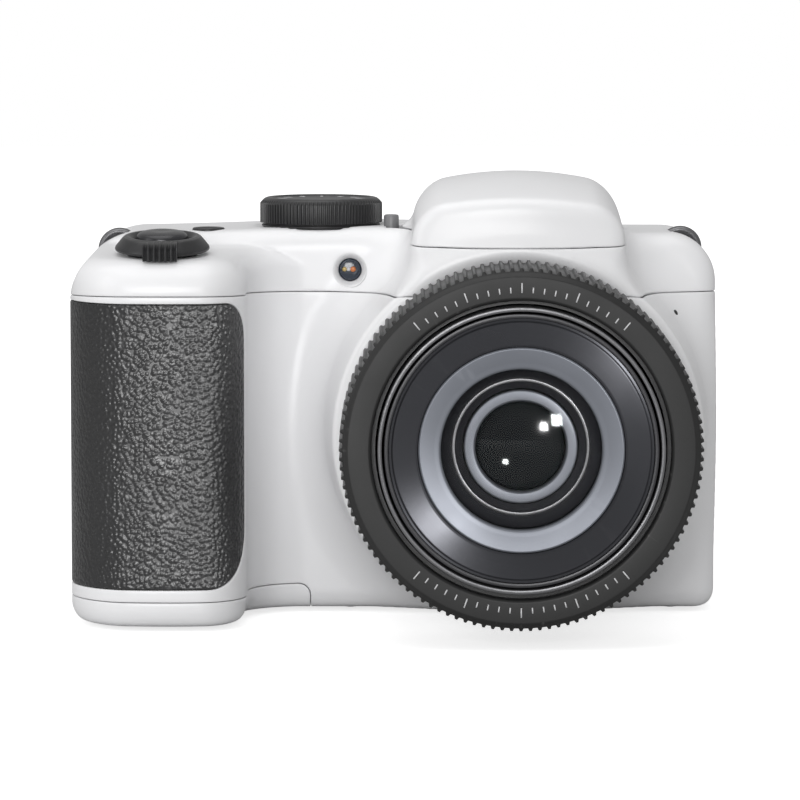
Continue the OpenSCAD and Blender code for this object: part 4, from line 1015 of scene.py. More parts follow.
def lever_bore(x, y, z):
    """Negative in the hole under the zoom lever."""
    reach, height = seat_frame(x, y, z)
    return np.maximum(reach - LEVER_HOLE_R, np.abs(height) - 4)


def top_bore(name, gap):
    """Negative in the hole round an upright button."""
    low, high = box_mm(name)
    ring = hole(((low[0] + high[0]) / 2, (low[1] + high[1]) / 2), (high[0] - low[0]) / 2 + gap - LIP, 2)
    return lambda x, y, z: np.maximum(ring(x, y, z), TOP - 6 - z)


def front_half(zone):
    return lambda x, y, z: np.maximum(zone(x, y, z), y - FRONT - 6)


def back_half(zone):
    return lambda x, y, z: np.maximum(zone(x, y, z), REAR_SEAM + 4 - y)


lamp_mid = middle_mm("focus_bezel")
lamp_hole = front_half(hole((lamp_mid[0], lamp_mid[2]), LAMP_HOLE_R, 1))


def base_hole(spot, radius):
    """Negative in a round hole in the base."""
    ring = hole(spot, radius - LIP, 2)
    return lambda x, y, z: np.maximum(ring(x, y, z), z - 3)


base_holes = [base_hole(spot, SCREW_HOLE_R) for spot in SCREW_SPOTS] + [base_hole(BUSH, BUSH_HOLE_R)]

print("holes in the base:", len(base_holes))

# %% [markdown]
# ## Holes for keys, screen and flap
# Keys have round holes, the screen and the port flap have rounded rectangles. Their sizes come from the
# solids, so a hole follows its key.

# %% Holes at the back and the side
KEYS = ("menu_button", "play_button", "trash_button", "help_button", "record_button")
KEY_INSET = 0.75
key_holes = []
for key in KEYS + ("four_way_pad",):
    key_mid, key_low = middle_mm(key), box_mm(key)[0]
    key_holes.append(back_half(hole((key_mid[0], key_mid[2]), key_mid[0] - key_low[0] - KEY_INSET, 1)))
screen_low, screen_high = box_mm("screen_window")
SCREEN_CORNER = 1.2


def screen_hole(x, y, z):
    frame_edge = rounded_rect(x, z, (screen_low[0], screen_low[2]), (screen_high[0], screen_high[2]),
                              (SCREEN_CORNER,) * 4)
    return np.maximum(frame_edge - 0.05, REAR_SEAM + 4 - y)


flap_low, flap_high = box_mm("port_flap")
FLAP_CLEAR, FLAP_SETBACK = 0.3, 0.35


def flap_hole(x, y, z):
    edge = rounded_rect(y, z, (flap_low[1] - FLAP_CLEAR, flap_low[2]), (flap_high[1], flap_high[2]), (1,) * 4)
    return np.maximum(edge - 0.2, RIGHT - 4 - x)


print("holes for keys:", len(key_holes))

# %% [markdown]
# ## Covers
# The five mouldings differ only in their zones and walls. A table and one loop make them all, which keeps
# every gap the same.

# %% Cut the covers
def above_seam(x, y, z):
    return -under_seam(x, y, z)


def before_rear(x, y, z):
    return y - REAR_SEAM


def behind_rear(x, y, z):
    return REAR_SEAM - y


WALL, DOOR_WALL, LID_WALL, BUTTON_GAP = 1.8, 1.6, 1.4, 0.15
top_holes = [lens_opening, lever_bore, lamp_hole, top_bore("power_button", BUTTON_GAP),
             top_bore("flash_release", BUTTON_GAP)]
COVERS = (
    ("front_cover", "camera", WALL, [under_seam, before_rear],
     [in_door, in_pad, lens_opening, flap_hole, *base_holes]),
    ("top_cover", "camera", WALL, [above_seam], [in_lid, *top_holes]),
    ("rear_cover", "camera", WALL, [under_seam, behind_rear], [in_door, *base_holes, screen_hole, *key_holes]),
    ("battery_door", "door", DOOR_WALL, [in_door], []),
    ("flash_lid", "flash", LID_WALL, [in_lid, lid_end], []))
for name, body_name, wall, keep, cut in COVERS:
    shell = walled(piece_of_body(keep, cut), body, wall, LIP)
    add_piece(f"{name}_skin", *shell, "white_plastic", body_name, "white_plastic", name)

# %% [markdown]
# ## Rubber pad
# The soft pad has a fatter lip than the plastic. It is cut from a finer skin of the same form, so it lies
# flush and its edge stays smooth.

# %% Rubber pad
PAD_CELL, PAD_LIP, PAD_WALL = 0.45, 0.35, 0.8
pad_skin = skin(body, (LEFT, GRIP_FRONT, PAD_LOW - 1), (GRIP_SIDE + 1, FRONT - 4, PAD_HIGH + 1), PAD_CELL)
pad_mesh = trim(pad_skin, body, lambda x, y, z: in_pad(x, y, z) + GAP / 2 + PAD_LIP, PAD_CELL)
add_piece("grip_pad_skin", *walled(pad_mesh, body, PAD_WALL, PAD_LIP), "grip_rubber", "camera", "grip_rubber",
          "grip_pad")

# %% [markdown]
# ## Turned parts
# Rings, barrels, keys and dials come off a lathe or out of a round mould, so each is a profile of radius and
# depth turned about its axis. Corners get small roundings, because a sharp edge catches no light.

# %% Turning tools
def soften(corners, steps=4, closed=True):
    """A profile of (radius, along, rounding) corners with each corner rounded."""
    profile = []
    count = len(corners)
    for n, (radius, along, rounding) in enumerate(corners):
        ends = not closed and n in (0, count - 1)
        if rounding == 0 or ends:
            profile.append((radius, along))
            continue
        here = np.array((radius, along), float)
        before = np.array(corners[n - 1][:2]) - here
        after = np.array(corners[(n + 1) % count][:2]) - here
        start = here + before * min(rounding / np.linalg.norm(before), 0.5)
        end = here + after * min(rounding / np.linalg.norm(after), 0.5)
        for t in np.linspace(0, 1, steps):
            profile.append(tuple((1 - t) ** 2 * start + 2 * t * (1 - t) * here + t ** 2 * end))
    return profile


def outward(points, faces):
    """The faces, turned round if they look inwards."""
    total = 0.0
    for face in faces:
        a = points[face[0]]
        for n in range(1, len(face) - 1):
            total += np.dot(a, np.cross(points[face[n]], points[face[n + 1]]))
    return faces if total > 0 else [face[::-1] for face in faces]


def spun(profile, segments, place, ripple=None):
    """Points and faces of a profile turned about an axis; a profile that ends on the axis is closed there."""
    profile = np.array(profile, float)
    poled = profile[0][0] < 1e-6
    rows = profile[1:-1] if poled else profile
    turn = np.arange(segments) * 2 * math.pi / segments
    radius = np.repeat(rows[:, :1], segments, axis=1)
    along = np.repeat(rows[:, 1:], segments, axis=1)
    turn = np.repeat(turn[None, :], len(rows), axis=0)
    if ripple:
        radius, along = ripple(radius, along, turn)
    points = np.stack(place(radius, along, turn), axis=-1).reshape(-1, 3)
    faces = []
    for row in range(len(rows) - 1 if poled else len(rows)):
        near, far = row * segments, (row + 1) % len(rows) * segments
        for n in range(segments):
            m = (n + 1) % segments
            faces.append((near + n, near + m, far + m, far + n))
    if poled:
        poles = [np.stack(place(*(np.array(v) for v in (0.0, end[1], 0.0)))) for end in (profile[0],
                                                                                         profile[-1])]
        last = (len(rows) - 1) * segments
        for n in range(segments):
            m = (n + 1) % segments
            faces.append((len(points), m, n))
            faces.append((len(points) + 1, last + n, last + m))
        points = np.vstack([points, poles])
    return points, outward(points - points.mean(axis=0), faces)


def on_lens(radius, along, turn):
    return LENS_X + radius * np.cos(turn), along, LENS_Z + radius * np.sin(turn)


def rib(turn, count, flat=0.45):
    """1 on top of a rib and 0 in the groove beside it, for a number of ribs round a turn."""
    phase = np.abs((turn * count / (2 * math.pi)) % 1 * 2 - 1)
    return np.clip((phase - flat) / 0.3, 0, 1)


# %% [markdown]
# ## Lens ring
# The big black ring is moulded with straight ribs for the fingers. In front it has a narrow chamfer that
# catches the light as a thin line, and a flat face with two arcs of fine index lines.

# %% Lens ring
RING_TEETH, TOOTH_DEPTH = 120, 0.55
RING_LIP, RING_BORE = 26.2, 28.7
KNURL_START, KNURL_END = RING_FRONT + 1.2, RING_BACK - 1.0
ring_profile = soften([
    (RING_LIP, RING_FRONT + 0.3, 0.25), (RING_LIP + 0.5, RING_FRONT, 0.15), (RING_R - 1.5, RING_FRONT, 0.2),
    (RING_R - 0.75, KNURL_START - 0.35, 0.2), (RING_R - 0.05, KNURL_START, 0), (RING_R, KNURL_START + 0.3, 0),
    (RING_R, KNURL_END - 0.3, 0), (RING_R - 0.1, KNURL_END, 0), (RING_R - 0.9, RING_BACK, 0.3),
    (RING_BORE, RING_BACK, 0.2), (RING_BORE, RING_FRONT + 3.2, 0.2), (RING_LIP, RING_FRONT + 3.2, 0.2)])


def ring_knurl(radius, along, turn):
    deep = (radius > RING_R - 0.5) * TOOTH_DEPTH * (1 - rib(turn, RING_TEETH))
    return radius - deep, along


ring_mesh = spun(ring_profile, RING_TEETH * 8, on_lens, ring_knurl)
sharpen(add_piece("lens_ring_turned", *ring_mesh, "ring_black", "camera", "black_plastic", "lens_ring"), 40)


BOX_QUADS = [(0, 3, 2, 1), (4, 5, 6, 7), (0, 1, 5, 4), (1, 2, 6, 5), (2, 3, 7, 6), (3, 0, 4, 7)]


def index_lines(name, angles, low, high, width, face, body_name):
    """Thin raised bars on a ring's face, pointing at its axis."""
    points, faces = [], []
    for angle, length in angles:
        start = len(points)
        for along in (face - 0.03, face + 0.3):
            for reach, side in ((low, -1), (low, 1), (high - length, 1), (high - length, -1)):
                turn = math.radians(angle) + side * width / 2 / reach
                points.append(on_lens(reach, along, turn))
        faces += [tuple(start + n for n in quad) for quad in BOX_QUADS]
    return add_piece(name, np.array(points), faces, "pale_mark", body_name, "black_plastic")


INDEX_LOW, INDEX_HIGH, INDEX_WIDTH, INDEX_STEP, INDEX_SHORTER = 27.6, 29.3, 0.22, 4, 0.7
lines = [(middle + step * INDEX_STEP, 0.0 if step % 5 == 0 else INDEX_SHORTER)
         for middle in (90, 270) for step in range(-10, 11)]
index_lines("ring_index_lines", lines, INDEX_LOW, INDEX_HIGH, INDEX_WIDTH, RING_FRONT, "camera")

# %% [markdown]
# ## Barrels and front rings
# Two thin tubes slide out of the ring when the lens zooms. The inner one carries a dark turned ring, whose
# fine grooves make bright streaks, and a lilac-grey retaining ring round the front glass.

# %% Barrels and rings
outer_low, outer_high = box_mm("outer_barrel")
inner_low, inner_high = box_mm("inner_barrel")
OUTER_BARREL_R, INNER_BARREL_R = (outer_high[0] - outer_low[0]) / 2, (inner_high[0] - inner_low[0]) / 2
BARREL_WALL = 0.8
GROOVES = (3.0, 3.9, 4.8)


def barrel_profile(radius, front, back):
    """A tube's profile with a rounded rim and three shallow grooves behind it."""
    outside = [(radius - BARREL_WALL, front, 0.2), (radius - 0.06, front, 0.22)]
    for groove in GROOVES:
        outside += [(radius - 0.06, front + groove, 0.05), (radius - 0.24, front + groove + 0.08, 0.05),
                    (radius - 0.24, front + groove + 0.3, 0.05), (radius - 0.06, front + groove + 0.38, 0.05)]
    outside += [(radius - 0.06, back, 0.1), (radius - BARREL_WALL, back, 0.1)]
    return soften(outside, 3)


outer_sleeve = spun(barrel_profile(OUTER_BARREL_R, outer_low[1], outer_high[1]), 192, on_lens)
sharpen(add_piece("outer_barrel_turned", *outer_sleeve,
                  "rim_metal", "outer_barrel", "black_metal", "outer_barrel"))
inner_sleeve = spun(barrel_profile(INNER_BARREL_R, inner_low[1], inner_high[1]), 192, on_lens)
sharpen(add_piece("inner_barrel_turned", *inner_sleeve,
                  "black_metal", "inner_barrel", "black_metal", "inner_barrel"))

# %% [markdown]
# ## Front rings
# The two rings round the glass are cones with small steps. They could be bevelled cylinders, but a profile
# puts each step where the light shows it.

# %% Front rings
turned_low, turned_high = box_mm("turned_ring")
grey_low, grey_high = box_mm("retaining_ring")
TURNED_R, GREY_R = (turned_high[0] - turned_low[0]) / 2, (grey_high[0] - grey_low[0]) / 2
GLASS_R = 14.1
turned_profile = soften([
    (TURNED_R, turned_low[1] + 0.35, 0.1), (TURNED_R - 0.45, turned_low[1] + 0.35, 0.1),
    (TURNED_R - 0.75, turned_low[1] + 0.05, 0.12), (GREY_R + 0.5, turned_low[1] + 0.75, 0.1),
    (GREY_R + 0.1, turned_low[1] + 1.05, 0.1), (GREY_R + 0.05, turned_high[1], 0.1),
    (TURNED_R, turned_high[1], 0.1)])
sharpen(add_piece("turned_ring_turned", *spun(turned_profile, 256, on_lens), "turned_metal", "inner_barrel",
                  "black_metal", "turned_ring"), 25)
grey_profile = soften([
    (GREY_R, grey_low[1] + 0.25, 0.1), (GREY_R - 0.3, grey_low[1] + 0.02, 0.12),
    (GLASS_R + 1.1, grey_low[1] + 0.75, 0.3), (GLASS_R + 0.25, grey_low[1] + 0.95, 0.2),
    (GLASS_R, grey_low[1] + 1.3, 0.1), (GLASS_R, grey_high[1], 0.1), (GREY_R, grey_high[1], 0.1)])
sharpen(add_piece("retaining_ring_turned", *spun(grey_profile, 256, on_lens), "grey_metal", "inner_barrel",
                  "grey_metal", "retaining_ring"), 25)

# %% [markdown]
# ## Glass and the inner cell
# Behind the coated front glass lies the inner cell: a dark stepped funnel with fine grooves that swallow stray
# light, a bright thin ring, and the pale ring that holds the next glass. The glasses are real domes, so the
# small studio lamp shows in each of them at another place.

# %% Inner cell
cell_low, cell_high = box_mm("inner_cell")
CELL_R = (cell_high[0] - cell_low[0]) / 2
INNER_RING_R, INNER_GLASS_R = 10.0, 8.0
INNER_FACE = box_mm("inner_element")[0][1] - 1.0
funnel = [(CELL_R, cell_low[1], 0), (CELL_R, cell_low[1] + 1.4, 0), (GLASS_R, cell_low[1] + 2.4, 0),
          (11.5, INNER_FACE + 2.0, 0), (11.5, cell_high[1], 0), (INNER_RING_R + 0.3, cell_high[1], 0),
          (INNER_RING_R + 0.3, INNER_FACE + 0.9, 0), (11.3, INNER_FACE + 0.9, 0), (11.5, INNER_FACE - 0.1, 0.1),
          (12.1, INNER_FACE - 0.1, 0.1), (12.2, INNER_FACE + 0.3, 0)]
STEPS = 7
for step in range(STEPS):
    reach = 12.3 + (GLASS_R + 0.6 - 12.3) * step / STEPS
    depth = INNER_FACE + 0.3 - (INNER_FACE + 0.3 - cell_low[1]) * step / STEPS
    rise = (INNER_FACE + 0.3 - cell_low[1]) / STEPS
    funnel += [(reach, depth, 0), (reach + 0.04, depth - rise * 0.9, 0)]
add_piece("inner_cell_turned", *spun(soften(funnel, 3), 192, on_lens), "cell_black", "inner_barrel",
          "grey_metal", "inner_cell")
thin_ring = soften([(11.55, INNER_FACE - 0.25, 0.1), (12.1, INNER_FACE - 0.25, 0.1),
                    (12.1, INNER_FACE + 0.05, 0), (11.55, INNER_FACE + 0.05, 0)], 3)
add_piece("inner_cell_thin_ring", *spun(thin_ring, 192, on_lens), "rim_metal", "inner_barrel", "grey_metal")
pale_ring = soften([
    (INNER_GLASS_R, INNER_FACE + 0.35, 0.1), (INNER_GLASS_R + 0.3, INNER_FACE, 0.1),
    (INNER_RING_R - 0.2, INNER_FACE, 0.15), (INNER_RING_R, INNER_FACE + 0.2, 0.1),
    (INNER_RING_R, cell_high[1], 0), (INNER_GLASS_R, cell_high[1], 0)], 3)
add_piece("inner_cell_pale_ring", *spun(pale_ring, 192, on_lens), "grey_metal", "inner_barrel", "grey_metal")


# %% [markdown]
# ## Glasses
# A lens is a shallow cap of a sphere on a ground edge. A squashed sphere would mirror lamps at the wrong
# place, so the real curve is turned about the axis.

# %% Glasses
def dome(radius, front, back, bulge, steps=14):
    """A lens: a domed front of a given sphere radius on a short edge, with a flat back."""
    reach = np.linspace(0, radius, steps)
    curve = [(r, front + bulge - math.sqrt(bulge ** 2 - r ** 2)) for r in reach]
    return curve + [(radius, back), (0, back)]


front_low, front_high = box_mm("front_element")
glass_low, glass_high = box_mm("inner_element")
FRONT_SPHERE_R, INNER_SPHERE_R, GLASS_GAP = 44, 29, 0.06
front_dome = dome(GLASS_R - GLASS_GAP, front_low[1] + 0.05, front_high[1], FRONT_SPHERE_R)
add_piece("front_glass_domed", *spun(front_dome, 128, on_lens), "lens_glass", "inner_barrel", "lens_glass",
          "front_element")
# The inner glass is opaque: its near-black colour is painted shade of the lens behind it, while its dome
# mirrors the lamps for real.
inner_dome = dome(INNER_GLASS_R - GLASS_GAP, glass_low[1] + 0.05, glass_high[1], INNER_SPHERE_R)
add_piece("inner_glass_domed", *spun(inner_dome, 128, on_lens), "deep_glass", "inner_barrel", "lens_glass",
          "inner_element")

# %% [markdown]
# ## Light on single pieces
# In a studio, flags keep light off one thing and on another. Light linking does this with collections of
# receivers, so the lens is lit without touching the white body.

# %% Light on single pieces
def receivers(name, pieces, state, *lamps):
    """Makes lamps light only these pieces, or all but these when the state is EXCLUDE."""
    group = bpy.data.collections.new(name)
    for piece in pieces:
        group.objects.link(bpy.data.objects[piece])
    for member in group.collection_objects:
        member.light_linking.link_state = state
    for lamp in lamps:
        lamp.light_linking.receiver_collection = group
    print(f"{name}: {len(pieces)} pieces, {state.lower()}d for", [lamp.name for lamp in lamps])


SHADED = ("turned_ring_turned", "front_glass_domed", "inner_glass_domed")
CELL_RINGS = ("retaining_ring_turned", "inner_cell_pale_ring", "inner_cell_thin_ring")
receivers("lens_front", SHADED + CELL_RINGS, "INCLUDE", glint_lamp)
receivers("shaded_lens", SHADED, "EXCLUDE", top_lamp, front_lamp)
receivers("shaded_side", SHADED + ("grip_pad_skin",), "EXCLUDE", side_lamp)
receivers("lit_grip", ("grip_pad_skin",), "INCLUDE", grip_lamp, finger_lamp)

# %% [markdown]
# ## Controls on top
# Dial, lever and buttons are moulded in black plastic. Each is turned about its own axis and rides on its own
# body, so it moves with its joint.

# %% Axes of the controls
def upright(centre):
    """Turning about a vertical axis."""
    return lambda radius, along, turn: (centre[0] + radius * np.cos(turn), centre[1] + radius * np.sin(turn),
                                        along + 0 * turn)


def through_back(centre):
    """Turning about an axis that points to the rear."""
    return lambda radius, along, turn: (centre[0] + radius * np.cos(turn), along + 0 * turn,
                                        centre[2] + radius * np.sin(turn))


TILT = math.atan(SEAT_TILT)


def seat_point(u, v, w):
    """A point in the lever's sloping frame: u to the side, v up the slope and w out of it."""
    return (LEVER_X + u, SEAT_Y + v * math.cos(TILT) - w * math.sin(TILT),
            LEVER_Z + v * math.sin(TILT) + w * math.cos(TILT))


def on_seat(radius, along, turn):
    return seat_point(radius * np.cos(turn), radius * np.sin(turn), along)


print(f"the lever's seat leans by {math.degrees(TILT):.1f} degrees")

# %% [markdown]
# ## Mode dial
# The dial is a knurled cap on a skirt with a sunken top. Teeth could be cut by an array of booleans. A
# ripple of the radius while the profile turns gives one clean mesh.

# %% Mode dial
DIAL_R, DIAL_TEETH, DIAL_NOTCH = 11.4, 96, 0.32
dial_mid = middle_mm("mode_dial")
dial_low, dial_high = box_mm("mode_dial")[0][2], box_mm("mode_dial")[1][2]
dial_foot = TOP + 0.45
SKIRT = 0.5
dial_profile = soften([
    (0, dial_low, 0), (3, dial_low, 0.2), (3, dial_foot, 0.2), (DIAL_R - 0.75, dial_foot, 0.25),
    (DIAL_R - 0.35, dial_foot + 0.2, 0.15), (DIAL_R - 0.35, dial_foot + SKIRT, 0.1),
    (DIAL_R - 0.75, dial_foot + SKIRT + 0.1, 0.1), (DIAL_R - 0.75, dial_foot + SKIRT + 0.3, 0.1),
    (DIAL_R - 0.06, dial_foot + SKIRT + 0.4, 0), (DIAL_R - 0.02, dial_foot + SKIRT + 0.55, 0),
    (DIAL_R - 0.02, dial_high - 1.15, 0), (DIAL_R - 0.06, dial_high - 1.0, 0),
    (DIAL_R - 0.75, dial_high - 0.25, 0.3),
    (DIAL_R - 1.3, dial_high, 0.25), (DIAL_R - 2.1, dial_high, 0.2), (DIAL_R - 2.4, dial_high - 0.3, 0.2),
    (0, dial_high - 0.3, 0)], closed=False)


def dial_knurl(radius, along, turn):
    return radius - (radius > DIAL_R - 0.2) * DIAL_NOTCH * (1 - rib(turn, DIAL_TEETH)), along


dial = spun(dial_profile, DIAL_TEETH * 8, upright(dial_mid), dial_knurl)
sharpen(add_piece("mode_dial_turned", *dial, "black_plastic", "dial", "black_plastic", "mode_dial"), 40)


# %% [markdown]
# ## Index lines
# Plain lines mark the dial's places. A texture would blur close up, so each is a thin bar.

# %% Index lines of the dial
def bars(spots, length, width, thick, frame_of):
    """Small raised bars: each spot is (radius, angle) and frame_of turns (radius, along, turn) to a place."""
    points, faces = [], []
    for reach, degrees in spots:
        start = len(points)
        for along in thick:
            for out, side in ((0, -1), (0, 1), (length, 1), (length, -1)):
                turn = math.radians(degrees) + side * width / 2 / (reach + out)
                points.append(frame_of(np.float64(reach + out), np.float64(along), np.float64(turn)))
        faces += [tuple(start + n for n in quad) for quad in BOX_QUADS]
    points = np.array(points)
    return points, outward(points - points.mean(axis=0), faces)


dial_marks = bars([(6.3, step * 30) for step in range(12)], 1.8, 0.45, (dial_high - 0.4, dial_high - 0.26),
                  upright(dial_mid))
add_piece("mode_dial_marks", *dial_marks, "pale_mark", "dial", "black_plastic")

# %% [markdown]
# ## Zoom lever
# The lever is a ring round the shutter button on a sloping seat. An upright ring could be tilted
# afterwards, but turning it in the seat's own frame is exact.

# %% Zoom lever
LEVER_R, SHUTTER_R, LEVER_H, COLLAR_L = 8.6, 4.7, 2.5, 2.6
LEVER_BORE = SHUTTER_R + 0.4
lever_profile = soften([
    (LEVER_BORE, -COLLAR_L, 0.1), (SHUTTER_R + 1.5, -COLLAR_L, 0.2), (SHUTTER_R + 1.5, 0.05, 0.1),
    (LEVER_R - 0.3, 0.05, 0.15), (LEVER_R - 0.02, 0.3, 0.2), (LEVER_R - 0.05, 0.7, 0.3),
    (LEVER_R - 1.5, LEVER_H, 0.5),
    (LEVER_R - 2.0, LEVER_H + 0.25, 0.3), (SHUTTER_R + 1.3, LEVER_H + 0.25, 0.3),
    (SHUTTER_R + 0.7, LEVER_H - 0.2, 0.2), (LEVER_BORE, LEVER_H - 0.6, 0.1)])
sharpen(add_piece("zoom_lever_turned", *spun(lever_profile, 144, on_seat), "black_plastic", "lever",
                  "black_plastic", "zoom_lever"), 40)

# %% [markdown]
# ## Tab of the lever
# A finger pushes the lever by a ribbed tab. Bump would vanish at its outline, so a row of outlines is
# joined whose length and height follow a wave.

# %% Ribbed tab
RIB_COUNT, TAB_HALF = 6, 3.1
tab_u = np.linspace(-TAB_HALF, TAB_HALF, RIB_COUNT * 8 + 1)
tab_ridge = 0.5 + 0.5 * np.cos(tab_u / TAB_HALF * RIB_COUNT * math.pi)
tab_points, tab_faces = [], []
for u, ridge in zip(tab_u, tab_ridge):
    nose = LEVER_R + 1.7 + 0.45 * ridge - 0.05 * (u / TAB_HALF) ** 2 * 8
    crest = LEVER_H + 0.1 + 0.4 * ridge
    outline = [(-LEVER_R + 1.6, 0.2), (-nose + 0.9, 0.0), (-nose + 0.15, -0.35), (-nose, crest - 1.2),
               (-nose + 0.6, crest - 0.45), (-LEVER_R + 0.6, crest), (-LEVER_R + 2.2, LEVER_H + 0.1)]
    tab_points += [seat_point(u, v, w) for v, w in outline]
side = len(outline)
for n in range(len(tab_u) - 1):
    for k in range(side):
        m = (k + 1) % side
        tab_faces.append((n * side + k, n * side + m, (n + 1) * side + m, (n + 1) * side + k))
tab_faces += [tuple(range(side))[::-1], tuple(range((len(tab_u) - 1) * side, len(tab_u) * side))]
tab_points = np.array(tab_points)
tab = tab_points, outward(tab_points - tab_points.mean(axis=0), tab_faces)
sharpen(add_piece("zoom_lever_tab", *tab, "black_plastic", "lever", "black_plastic"), 50)

# %% [markdown]
# ## Shutter button
# The shutter button is a short piston with a soft, slightly dished top, turned in the same sloping frame.

# %% Shutter button
SHUTTER_ROOT = -2.4
shutter_profile = soften([(0, SHUTTER_ROOT, 0), (SHUTTER_R - 0.05, SHUTTER_ROOT, 0.2),
                          (SHUTTER_R - 0.05, 2.75, 0.4),
                          (SHUTTER_R - 0.7, 3.3, 0.5), (2.2, 3.62, 0.8), (0, 3.45, 0)], closed=False)
sharpen(add_piece("shutter_button_turned", *spun(shutter_profile, 96, on_seat), "black_metal", "shutter",
                  "black_plastic", "shutter_button"), 40)

# %% [markdown]
# ## Two small buttons
# Both press straight down. A bevelled cylinder would look blank, so each profile has a rounded rim and the
# dish that a fingertip finds.

# %% Power button and flash release
power_mid, power_box = middle_mm("power_button"), box_mm("power_button")
power_r, power_top = (power_box[1][0] - power_box[0][0]) / 2, power_box[1][2]
power_profile = soften([(0, power_box[0][2], 0), (power_r, power_box[0][2], 0.2),
                        (power_r, power_top - 0.02, 0.45),
                        (power_r - 0.9, power_top - 0.02, 0.3), (power_r - 1.3, power_top - 0.3, 0.3),
                        (0, power_top - 0.42, 0)], closed=False)
sharpen(add_piece("power_button_turned", *spun(power_profile, 72, upright(power_mid)), "black_plastic", "power",
                  "black_plastic", "power_button"), 40)
release_mid, release_box = middle_mm("flash_release"), box_mm("flash_release")
release_r, release_top = (release_box[1][0] - release_box[0][0]) / 2, release_box[1][2]
release_profile = soften([(0, release_box[0][2], 0), (release_r, release_box[0][2], 0.2),
                          (release_r, release_top - 0.01, 0.5), (0.5, release_top - 0.06, 0.3),
                          (0, release_top - 0.1, 0)], closed=False)
sharpen(add_piece("flash_release_turned", *spun(release_profile, 48, upright(release_mid)), "grey_plastic",
                  "release", "grey_metal", "flash_release"), 40)

# %% [markdown]
# ## Focus lamp
# A small lamp helps to focus in the dark. Its bezel is white and dished and its window nearly black. The
# coloured spots are domes of their own, so each has its own finish.

# %% Focus lamp
bezel_box, lamp_box = box_mm("focus_bezel"), box_mm("focus_lamp")
bezel_face, bezel_back, BEZEL_BORE, BEZEL_R = bezel_box[0][1], bezel_box[1][1], 2.15, 3.3
bezel_profile = soften([
    (BEZEL_BORE, bezel_face + 1.5, 0.1), (2.9, bezel_face + 0.05, 0.3), (3.25, bezel_face + 0.05, 0.15),
    (BEZEL_R, bezel_face + 0.5, 0.1), (BEZEL_R, bezel_back, 0), (BEZEL_BORE, bezel_back, 0)])
sharpen(add_piece("focus_bezel_turned", *spun(bezel_profile, 96, through_back(lamp_mid)), "white_plastic",
                  "camera", "white_plastic", "focus_bezel"), 40)
lamp_face, lamp_back, WINDOW_R = lamp_box[0][1], lamp_box[1][1], 2.08
window_profile = soften([(0, lamp_face + 0.32, 0), (1.3, lamp_face + 0.4, 0.5),
                         (WINDOW_R, lamp_face + 0.7, 0.2),
                         (WINDOW_R, lamp_back, 0), (0, lamp_back, 0)], closed=False)
sharpen(add_piece("focus_lamp_window", *spun(window_profile, 64, through_back(lamp_mid)), "lamp_navy", "camera",
                  "red_plastic", "focus_lamp"), 40)
for label, finish_name, offset, reach in (("amber", "amber_lamp", 0.55, 0.62),
                                          ("yellow", "yellow_lamp", -1.0, 0.5),
                                          ("pale", "pale_mark", -0.25, 0.45)):
    spot = (lamp_mid[0] + offset, lamp_mid[1], lamp_mid[2] + 0.1)
    bulb = [(0, lamp_face + 0.05), (reach * 0.6, lamp_face + 0.15), (reach, lamp_face + 0.5),
            (0, lamp_face + 0.6)]
    add_piece(f"focus_lamp_{label}_spot", *spun(bulb, 32, through_back(spot)), finish_name, "camera",
              "red_plastic")


# %% [markdown]
# ## Back, sides and base
# The photo doesn't show these, so they follow the usual layout of such a camera. Flat parts are lofts: one
# rounded outline is laid at several depths, each with its own inset, so that every edge has its bevel.

# %% Lofts
def rounded_loop(low, high, radius, inset, steps=6):
    """Points round a rectangle with round corners, taken in by an inset."""
    points = []
    r = max(radius - inset, 0.05)
    corners = ((high[0], high[1], 0), (low[0], high[1], 90), (low[0], low[1], 180), (high[0], low[1], 270))
    for u, v, start in corners:
        centre_u = u + (-1 if u == high[0] else 1) * (inset + r)
        centre_v = v + (-1 if v == high[1] else 1) * (inset + r)
        for angle in np.radians(np.linspace(start, start + 90, steps)):
            points.append((centre_u + r * math.cos(angle), centre_v + r * math.sin(angle)))
    return points


def lofted(low, high, radius, levels, place):
    """A rounded block: levels are (inset, depth), and place turns (u, v, depth) to a point."""
    rings = [[place(u, v, depth) for u, v in rounded_loop(low, high, radius, inset)] for inset, depth in levels]
    count = len(rings[0])
    faces = [tuple(range(count))]
    for row in range(len(rings) - 1):
        for n in range(count):
            m = (n + 1) % count
            faces.append((row * count + n, row * count + m, (row + 1) * count + m, (row + 1) * count + n))
    faces.append(tuple(range((len(rings) - 1) * count, len(rings) * count))[::-1])
    points = np.array([point for ring in rings for point in ring], float)
    return points, outward(points - points.mean(axis=0), faces)


def joined(meshes):
    """Several meshes as one."""
    points, faces, start = [], [], 0
    for mesh_points, mesh_faces in meshes:
        points.append(mesh_points)
        faces += [tuple(start + n for n in face) for face in mesh_faces]
        start += len(mesh_points)
    return np.vstack(points), faces


def facing_back(u, v, depth):
    return u, depth, v


def facing_side(u, v, depth):
    return depth, u, v


# %% [markdown]
# ## Screen
# A clear pane with a black border covers the panel. A texture could hold the border, but a mask behind the
# pane keeps its depth at an angle.

